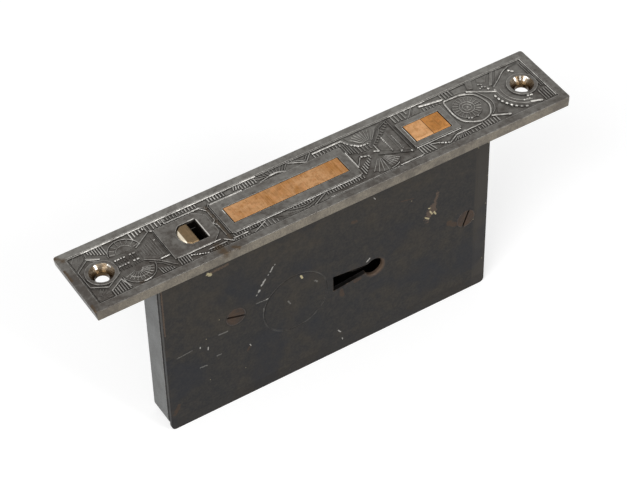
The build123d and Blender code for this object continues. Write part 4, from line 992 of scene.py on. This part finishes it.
def draw_rosette(relief):
    """The ringed rosette in its rounded frame."""
    centre = (65.75, 0.75)
    frame_line = [(60.2, 8.1), (66.6, 7.9), (69.1, 7.0), (72.0, 5.2), (73.4, 1.6), (73.8, -2.3), (72.0, -5.9),
                  (69.9, -7.6), (66.3, -8.4), (63.4, -7.3), (59.9, -4.1), (59.1, 0.2), (59.5, 6.6),
                  (60.2, 8.1)]
    relief.curve(*frame_line, width=0.85, rise=0.78)
    relief.curve((66.6, 7.9), (67.6, 7.7), (69.1, 7.0), width=1.1)
    relief.curve((59.5, 6.6), (59.1, 0.2), (59.9, -4.1), (61.4, -6.0), width=0.9, rise=0.94)
    relief.line((60.4, 8.1), (65.8, 7.95), width=0.8, rise=0.9)
    relief.curve((63.4, -7.3), (64.6, -7.9), (66.3, -8.4), width=1.0)
    relief.curve((73.4, 5.6), (75.2, 1.4), (75.6, -1.6), (74.4, -5.2), (72.2, -7.2), width=0.4, rise=0.7)
    relief.sector(centre, 0, 5.9, 0, 357, rise=0.2)
    for radius, width, rise in ((5.7, 0.4, 0.6), (3.0, 0.5, 0.72), (1.8, 0.4, 0.72)):
        relief.arc(centre, radius, 0, 360, width=width, rise=rise)
    relief.arc(centre, 0.65, 0, 360, width=0.4, rise=0.72)
    relief.rays(centre, 3.3, 5.5, 0, 342, 20, width=0.42, rise=0.66)
    relief.beads((62.4, -4.4), (64.4, -5.4), size=0.8, rise=0.92)
    relief.beads((66.2, -5.4), (67.0, -5.2), size=0.8, rise=0.92)


def draw_right_end(relief):
    """Slanted bars, the branch and the beaded arc round the right screw hole."""
    hole = (HOLE_X, 0.0)
    relief.box_hatch(60.6, 64.7, 8.9, 12.0, pitch=1.35, width=0.75, rise=0.7)
    relief.flat((65.6, 9.2), (67.8, 8.9), (70.6, 8.2), (71.6, 11.9), (65.6, 11.9))
    relief.line((70.5, 7.9), (79.9, 2.0), width=0.9, rise=0.84)
    relief.flat((71.4, 8.8), (73.6, 8.0), (75.4, 12.2), (72.4, 12.2), rise=0.62)
    relief.flat((79.5, 6.2), (80.8, 5.6), (85.2, 11.9), (83.9, 12.2), rise=0.62)
    relief.flat((76.6, 10.6), (79.6, 8.4), (82.6, 12.1), (77.4, 12.1))
    for start, end in (((76.0, 9.2), (77.8, 8.0)), ((76.6, 7.4), (78.4, 6.2)), ((75.4, 6.9), (76.4, 6.3))):
        relief.beads(start, end, size=0.9, rise=0.78)
    relief.beads((77.8, 5.4), (79.0, 4.4), size=1.1, rise=0.97)
    relief.flat((81.8, 5.6), (86.6, 9.0), (90.2, 11.0), (86.4, 12.1), rise=0.5)
    relief.curve((80.6, 4.5), (84.9, 7.4), (88.4, 9.9), (92.0, 11.3), width=0.6, rise=0.76)
    relief.beads((79.6, 3.2), (80.4, 2.4), size=1.0, rise=0.96)
    relief.line((71.0, -8.1), (77.4, -11.2), width=0.8, rise=0.84)
    relief.beads((76.6, -10.9), (77.6, -11.3), size=1.3)
    relief.flat((75.0, -5.4), (77.6, -3.2), (77.4, -9.8), (73.6, -8.0))
    beaded_arc = 12.3
    relief.beads(*(Vector(hole) + beaded_arc * way for way in ways(176, 248, 8)), size=1.35)
    relief.arc(hole, beaded_arc, 174, 243, width=0.5, rise=0.56)
    relief.sector(hole, 6.6, 11.4, 150, 262, rise=0.24)
    for radius in (10.4, 8.8):
        relief.arc(hole, radius, 165, 262, width=0.45, rise=0.72)
    relief.beads((85.6, -7.6), (88.8, -8.2), size=0.9, rise=0.9)
    relief.beads((88.0, -6.2), (90.6, -6.8), size=1.1, rise=0.96)
    relief.line((87.9, -9.8), (91.7, -11.3), width=1.1, rise=1.0)
    relief.box_hatch(93.6, 97.0, -11.8, -6.0, pitch=1.1, rise=0.68)
    relief.box_hatch(96.3, 97.2, -4.6, 10.4, pitch=0.9, rise=0.6)
    relief.beads((90.4, 9.6), (92.2, 7.6), size=1.2)
    relief.line((53.6, -9.6), (64.9, -9.6), width=0.5, rise=0.78)
    relief.box_hatch(58.6, 64.6, -12.1, -10.4, pitch=1.35, width=0.65, rise=0.68)
    relief.box_hatch(65.6, 72.0, -12.1, -9.2, pitch=1.35, width=0.65, rise=0.72)


def ridge_tree():
    """Sweeps a sloping-sided bar along every line, as wide and as high as the line says."""
    tree = bpy.data.node_groups.new("Cast ridges", "GeometryNodeTree")
    for name, kind in (("Geometry", "Geometry"), ("Field Floor", "Float"), ("Field Depth", "Float"),
                       ("Top Share", "Float"), ("Unevenness", "Float"), ("Seed", "Float"),
                       ("Finish", "Material")):
        tree.interface.new_socket(name, in_out="INPUT", socket_type="NodeSocket" + kind)
    tree.interface.new_socket("Geometry", in_out="OUTPUT", socket_type="NodeSocketGeometry")
    given = Outputs(tree.nodes.new("NodeGroupInput"))

    def step(kind, inputs=None, **settings):
        return add(tree, "GeometryNode" + kind, inputs, **settings)[0]

    def named(name):
        return step("InputNamedAttribute", {"Name": name}, data_type="FLOAT")

    curve = step("MeshToCurve", {"Mesh": given["Geometry"]})
    curve = step("ResampleCurve", {"Curve": curve, "Length": RIDGE_STEP}, mode="LENGTH")
    curve = step("SetCurveNormal", {"Curve": curve}, mode="Z_UP")
    profile = step("CurvePrimitiveQuadrilateral", mode="TRAPEZOID", inputs={
        "Bottom Width": 1.0, "Top Width": given["Top Share"], "Offset": 0.0, "Height": 1.0})
    upright = axes(step("InputPosition"))[1]
    profile = step("StoreNamedAttribute", {"Geometry": profile, "Name": "level", "Value": upright > 0.0},
                   data_type="FLOAT", domain="POINT")
    mesh = step("CurveToMesh", {"Curve": curve, "Profile Curve": profile, "Scale": named("width"),
                                "Fill Caps": True})
    place = step("InputPosition")
    x, y, _ = axes(place)
    wander = add(tree, "ShaderNodeTexNoise", {"Vector": place, "W": given["Seed"], "Scale": WANDER_SCALE,
                                              "Detail": 1.0}, noise_dimensions="4D")["Color"]
    sway = axes(add(tree, "ShaderNodeVectorMath", {0: wander, 1: (0.5, 0.5, 0.5)}, operation="SUBTRACT")[0])
    rise = named("rise") * (given["Field Depth"] * named("level"))
    moved = add(tree, "ShaderNodeCombineXYZ", {
        "X": x + sway[0] * given["Unevenness"], "Y": y + sway[1] * given["Unevenness"],
        "Z": given["Field Floor"] + rise})[0]
    mesh = step("SetPosition", {"Geometry": mesh, "Position": moved})
    mesh = step("RealizeInstances", {"Geometry": mesh})
    mesh = step("SetMaterial", {"Geometry": mesh, "Material": given["Finish"]})
    connect(mesh, tree.nodes.new("NodeGroupOutput").inputs[0])
    return tree


def run_tree(obj, tree, values):
    """Gives the object a Geometry Nodes modifier with the values, and keeps its result as a plain mesh."""
    modifier = obj.modifiers.new(tree.name, "NODES")
    modifier.node_group = tree
    for item in tree.interface.items_tree:
        if item.in_out == "INPUT" and item.name in values:
            modifier[item.identifier] = values[item.name]
    shown = obj.evaluated_get(bpy.context.evaluated_depsgraph_get())
    mesh = bpy.data.meshes.new_from_object(shown)
    obj.modifiers.clear()
    lines, obj.data = obj.data, mesh
    bpy.data.meshes.remove(lines)


def show(name, data):
    obj = bpy.data.objects.new(name, data)
    bpy.context.collection.objects.link(obj)
    return obj


def mesh_from(name, bm, material):
    """A plain mesh from a finished bmesh, with its material."""
    mesh = bpy.data.meshes.new(name)
    bm.to_mesh(mesh)
    bm.free()
    mesh.materials.append(material)
    return mesh


def ridge_object(name, relief, settings, floor, material):
    """The relief's lines as one mesh of ridges on the field's floor."""
    mesh = bpy.data.meshes.new(name)
    mesh.from_pydata([(p.x * MM, p.y * MM, floor) for p in relief.points], relief.edges, [])
    for label, values in (("width", [w * MM for w in relief.widths]), ("rise", relief.rises)):
        mesh.attributes.new(label, "FLOAT", "POINT").data.foreach_set("value", values)
    obj = show(name, mesh)
    run_tree(obj, ridge_tree(), {
        "Field Floor": floor, "Field Depth": settings.field_depth, "Top Share": RIDGE_TOP_SHARE,
        "Unevenness": settings.unevenness, "Seed": WANDER_SEED, "Finish": material})
    return obj


def flat_object(name, relief, settings, floor, material):
    """The relief's flats, each a closed block with leaning sides."""
    bm = bmesh.new()
    for number, (outline, rise) in enumerate(relief.flats):
        top = floor + rise * settings.field_depth + number * LEVEL_STEP
        lower, upper = [], []
        for before, point, after in zip(outline[-1:] + outline[:-1], outline, outline[1:] + outline[:1]):
            ahead, behind = (after - point).normalized(), (point - before).normalized()
            inward = (ahead + behind).orthogonal().normalized() * settings.slope / MM
            lower.append(bm.verts.new((point.x * MM, point.y * MM, floor - FLAT_ROOT)))
            upper.append(bm.verts.new(((point.x + inward.x) * MM, (point.y + inward.y) * MM, top)))
        bm.faces.new(upper)
        bm.faces.new(lower[::-1])
        for i in range(len(outline)):
            j = (i + 1) % len(outline)
            bm.faces.new((lower[i], lower[j], upper[j], upper[i]))
    bmesh.ops.recalc_face_normals(bm, faces=bm.faces)
    return show(name, mesh_from(name, bm, material))


# Operators, one for each piece or group of like pieces

class LOCK_OT_effects(Operator):
    """Build the shader groups that several finishes share"""
    bl_idname = "lock.effects"
    bl_label = "Shared Effects"

    def execute(self, context):
        for make in (make_edge_wear, make_mottling, make_cast_grain, make_specks, make_streaks, make_stroke):
            make()
        return {"FINISHED"}


class LOCK_OT_face_plate(Operator):
    """Finish the face plate and lay its cast pattern in the sunk field"""
    bl_idname = "lock.face_plate"
    bl_label = "Face Plate"

    def execute(self, context):
        sizes = context.scene.lock_relief
        finish = plate_finish("bronzed_plate", context.scene.lock_finish)
        finish.wear_on("face_plate")
        relief = Relief(sizes.ridge_width / MM, sizes.bar_width / MM, sizes.bar_pitch / MM)
        for draw in (draw_borders, draw_left_end, draw_thumb_frame, draw_pull_frame, draw_middle,
                     draw_bolt_frame, draw_rosette, draw_right_end):
            draw(relief)
        floor = PLATE_FACE - sizes.field_depth
        for obj in (ridge_object("face_plate_ridges", relief, sizes, floor, finish.material),
                    flat_object("face_plate_flats", relief, sizes, floor, finish.material)):
            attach(obj, "case")
        return {"FINISHED"}


class LOCK_OT_case(Operator):
    """Finish the case, its cover and the cover's screws"""
    bl_idname = "lock.case"
    bl_label = "Case and Cover"

    def execute(self, context):
        colours = context.scene.lock_finish
        case_finish("cast_case", colours).wear_on("case_shell")
        cover_finish("oxide_cover", colours).wear_on("cover_plate")
        steel_finish("rusty_screw", colours, colours.screw_brown, 0.45, 0.4, 0.5).wear_on("cover_screws")
        return {"FINISHED"}


class LOCK_OT_brass(Operator):
    """Finish the pull, the thumb piece and the bolt's two jaws"""
    bl_idname = "lock.brass"
    bl_label = "Brass Pieces"

    def execute(self, context):
        colours = context.scene.lock_finish
        copper, gold, olive = colours.brass_copper, colours.brass_gold, colours.thumb_brass
        brass_finish("pull_brass", colours, tuple(copper), tuple(gold), 0.7,
                     handled=PULL_HANDLED).wear_on("pull_bar")
        brass_finish("jaw_brass_copper", colours, shade(copper, 1.2), shade(gold, 1.35), 0.9,
                     bright=LOWER_JAW_HIGHLIGHT).wear_on("bolt_jaw_lower")
        brass_finish("jaw_brass_gold", colours, shade(gold, 1.32), shade(gold, 0.95), 0.9,
                     bright=UPPER_JAW_HIGHLIGHTS).wear_on("bolt_jaw_upper")
        brass_finish("thumb_brass", colours, tuple(olive), shade(olive, 0.8), 1.2, metallic=0.7,
                     polish_and_highlight_x=THUMB_POLISH_AND_HIGHLIGHT_X).wear_on("thumb_piece")
        return {"FINISHED"}


class LOCK_OT_works(Operator):
    """Finish the steel works, the pins and the springs"""
    bl_idname = "lock.works"
    bl_label = "Works and Springs"

    def execute(self, context):
        colours = context.scene.lock_finish
        steel_finish("works_steel_finish", colours, colours.works_grey).wear_on(
            "pull_slide", "release_lever", "bolt_plate", "tumbler_lever")
        steel_finish("pin_steel_finish", colours, shade(colours.works_grey, 1.1), 0.36, 0.08).wear_on(
            "plate_rivets", "key_ward", "pull_rivets", "thumb_piece_pin", "bolt_stump", "jaw_pins",
            "pull_guide_stud", "release_pivot_stud", "bolt_guide_stud", "spreader_post", "tumbler_pivot_stud")
        steel_finish("spring_steel_finish", colours, colours.spring_blue, 0.3, 0.05, 0.9).wear_on(
            "pull_spring", "release_spring", "tumbler_spring")
        return {"FINISHED"}


class LOCK_OT_stage(Operator):
    """Make the floor, the plain light and the camera of the photograph"""
    bl_idname = "lock.stage"
    bl_label = "Stage"

    def execute(self, context):
        stage = context.scene.lock_stage
        self.light(context, stage)
        self.floor(stage.floor_glow)
        self.camera(context, stage.camera_lens)
        context.scene.view_settings.view_transform = "Standard"
        return {"FINISHED"}

    def seen_directly(self, tree):
        """1 for rays that should find plain white: from the camera, or by gloss or glass."""
        path = add(tree, "ShaderNodeLightPath")
        return largest(path["Is Camera Ray"], path["Is Glossy Ray"], path["Is Transmission Ray"])

    def light(self, context, stage):
        world = bpy.data.worlds.new("studio")
        context.scene.world = world
        world.use_nodes = True
        tree = world.node_tree
        tree.nodes.clear()
        strength = remap(self.seen_directly(tree), 0.0, 1.0, stage.sky, 1.0, smooth=False)
        sky = add(tree, "ShaderNodeBackground", {"Color": WHITE, "Strength": strength})[0]
        connect(sky, tree.nodes.new("ShaderNodeOutputWorld").inputs[0])
        for name, place, size, power in (
                ("key_lamp", (-1.06, -0.66, 1.1), 0.9, stage.key_power),
                ("front_lamp", (0.6, -1.26, 0.9), 0.5, stage.front_power)):
            lamp = bpy.data.lights.new(name, "AREA")
            lamp.size, lamp.energy = size, power
            obj = show(name, lamp)
            obj.location = place
            aim = Vector(LAMP_AIM) - Vector(place)
            obj.rotation_euler = aim.to_track_quat("-Z", "Y").to_euler()

    def floor(self, glow):
        bm = bmesh.new()
        bmesh.ops.create_circle(bm, cap_ends=True, segments=96, radius=3.0,
                                matrix=Matrix.Translation((0, 0, CASE_FOOT)))
        finish = Finish("floor_white")
        finish.set(Base_Color=(0.6, 0.6, 0.6), Roughness=0.9, Specular_IOR_Level=0.0, Emission_Color=WHITE,
                   Emission_Strength=self.seen_directly(finish.tree) * glow)
        show("floor", mesh_from("floor", bm, finish.material))

    def camera(self, context, lens):
        azimuth, elevation, roll = (math.radians(angle) for angle in CAMERA_TURN)
        back = Vector((math.sin(azimuth) * math.cos(elevation), -math.cos(azimuth) * math.cos(elevation),
                       math.sin(elevation)))
        right = Vector((math.cos(azimuth), math.sin(azimuth), 0.0))
        up = back.cross(right)
        c, s = math.cos(roll), math.sin(roll)
        right, up = c * right + s * up, c * up - s * right
        data = bpy.data.cameras.new("camera")
        data.lens, data.sensor_width, data.clip_start, data.clip_end = lens, 36.0, 0.01, 20.0
        camera = show("camera", data)
        turned = Matrix((right, up, back)).transposed().to_4x4()
        camera.matrix_world = Matrix.Translation(CAMERA_PLACE) @ turned
        context.scene.camera = camera


OPERATORS = (LOCK_OT_effects, LOCK_OT_face_plate, LOCK_OT_case, LOCK_OT_brass, LOCK_OT_works, LOCK_OT_stage)


class LOCK_PT_sidebar(Panel):
    bl_idname = "LOCK_PT_sidebar"
    bl_label = "Mortise Lock"
    bl_space_type = "VIEW_3D"
    bl_region_type = "UI"
    bl_category = "Mortise Lock"

    def draw(self, context):
        for operator in OPERATORS:
            self.layout.operator(operator.bl_idname)
        for group in (context.scene.lock_relief, context.scene.lock_finish, context.scene.lock_stage):
            box = self.layout.box()
            for name in group.__annotations__:
                box.prop(group, name)


SETTINGS = {"lock_relief": PlateReliefSettings, "lock_finish": FinishSettings, "lock_stage": StageSettings}


def register():
    for cls in (*SETTINGS.values(), *OPERATORS, LOCK_PT_sidebar):
        bpy.utils.register_class(cls)
    for name, group in SETTINGS.items():
        setattr(bpy.types.Scene, name, PointerProperty(type=group))


def unregister():
    for name in SETTINGS:
        delattr(bpy.types.Scene, name)
    for cls in (LOCK_PT_sidebar, *reversed(OPERATORS), *SETTINGS.values()):
        bpy.utils.unregister_class(cls)


def main():
    register()
    for operator in OPERATORS:
        group, name = operator.bl_idname.split(".")
        getattr(getattr(bpy.ops, group), name)()


if __name__ == "__main__":
    main()
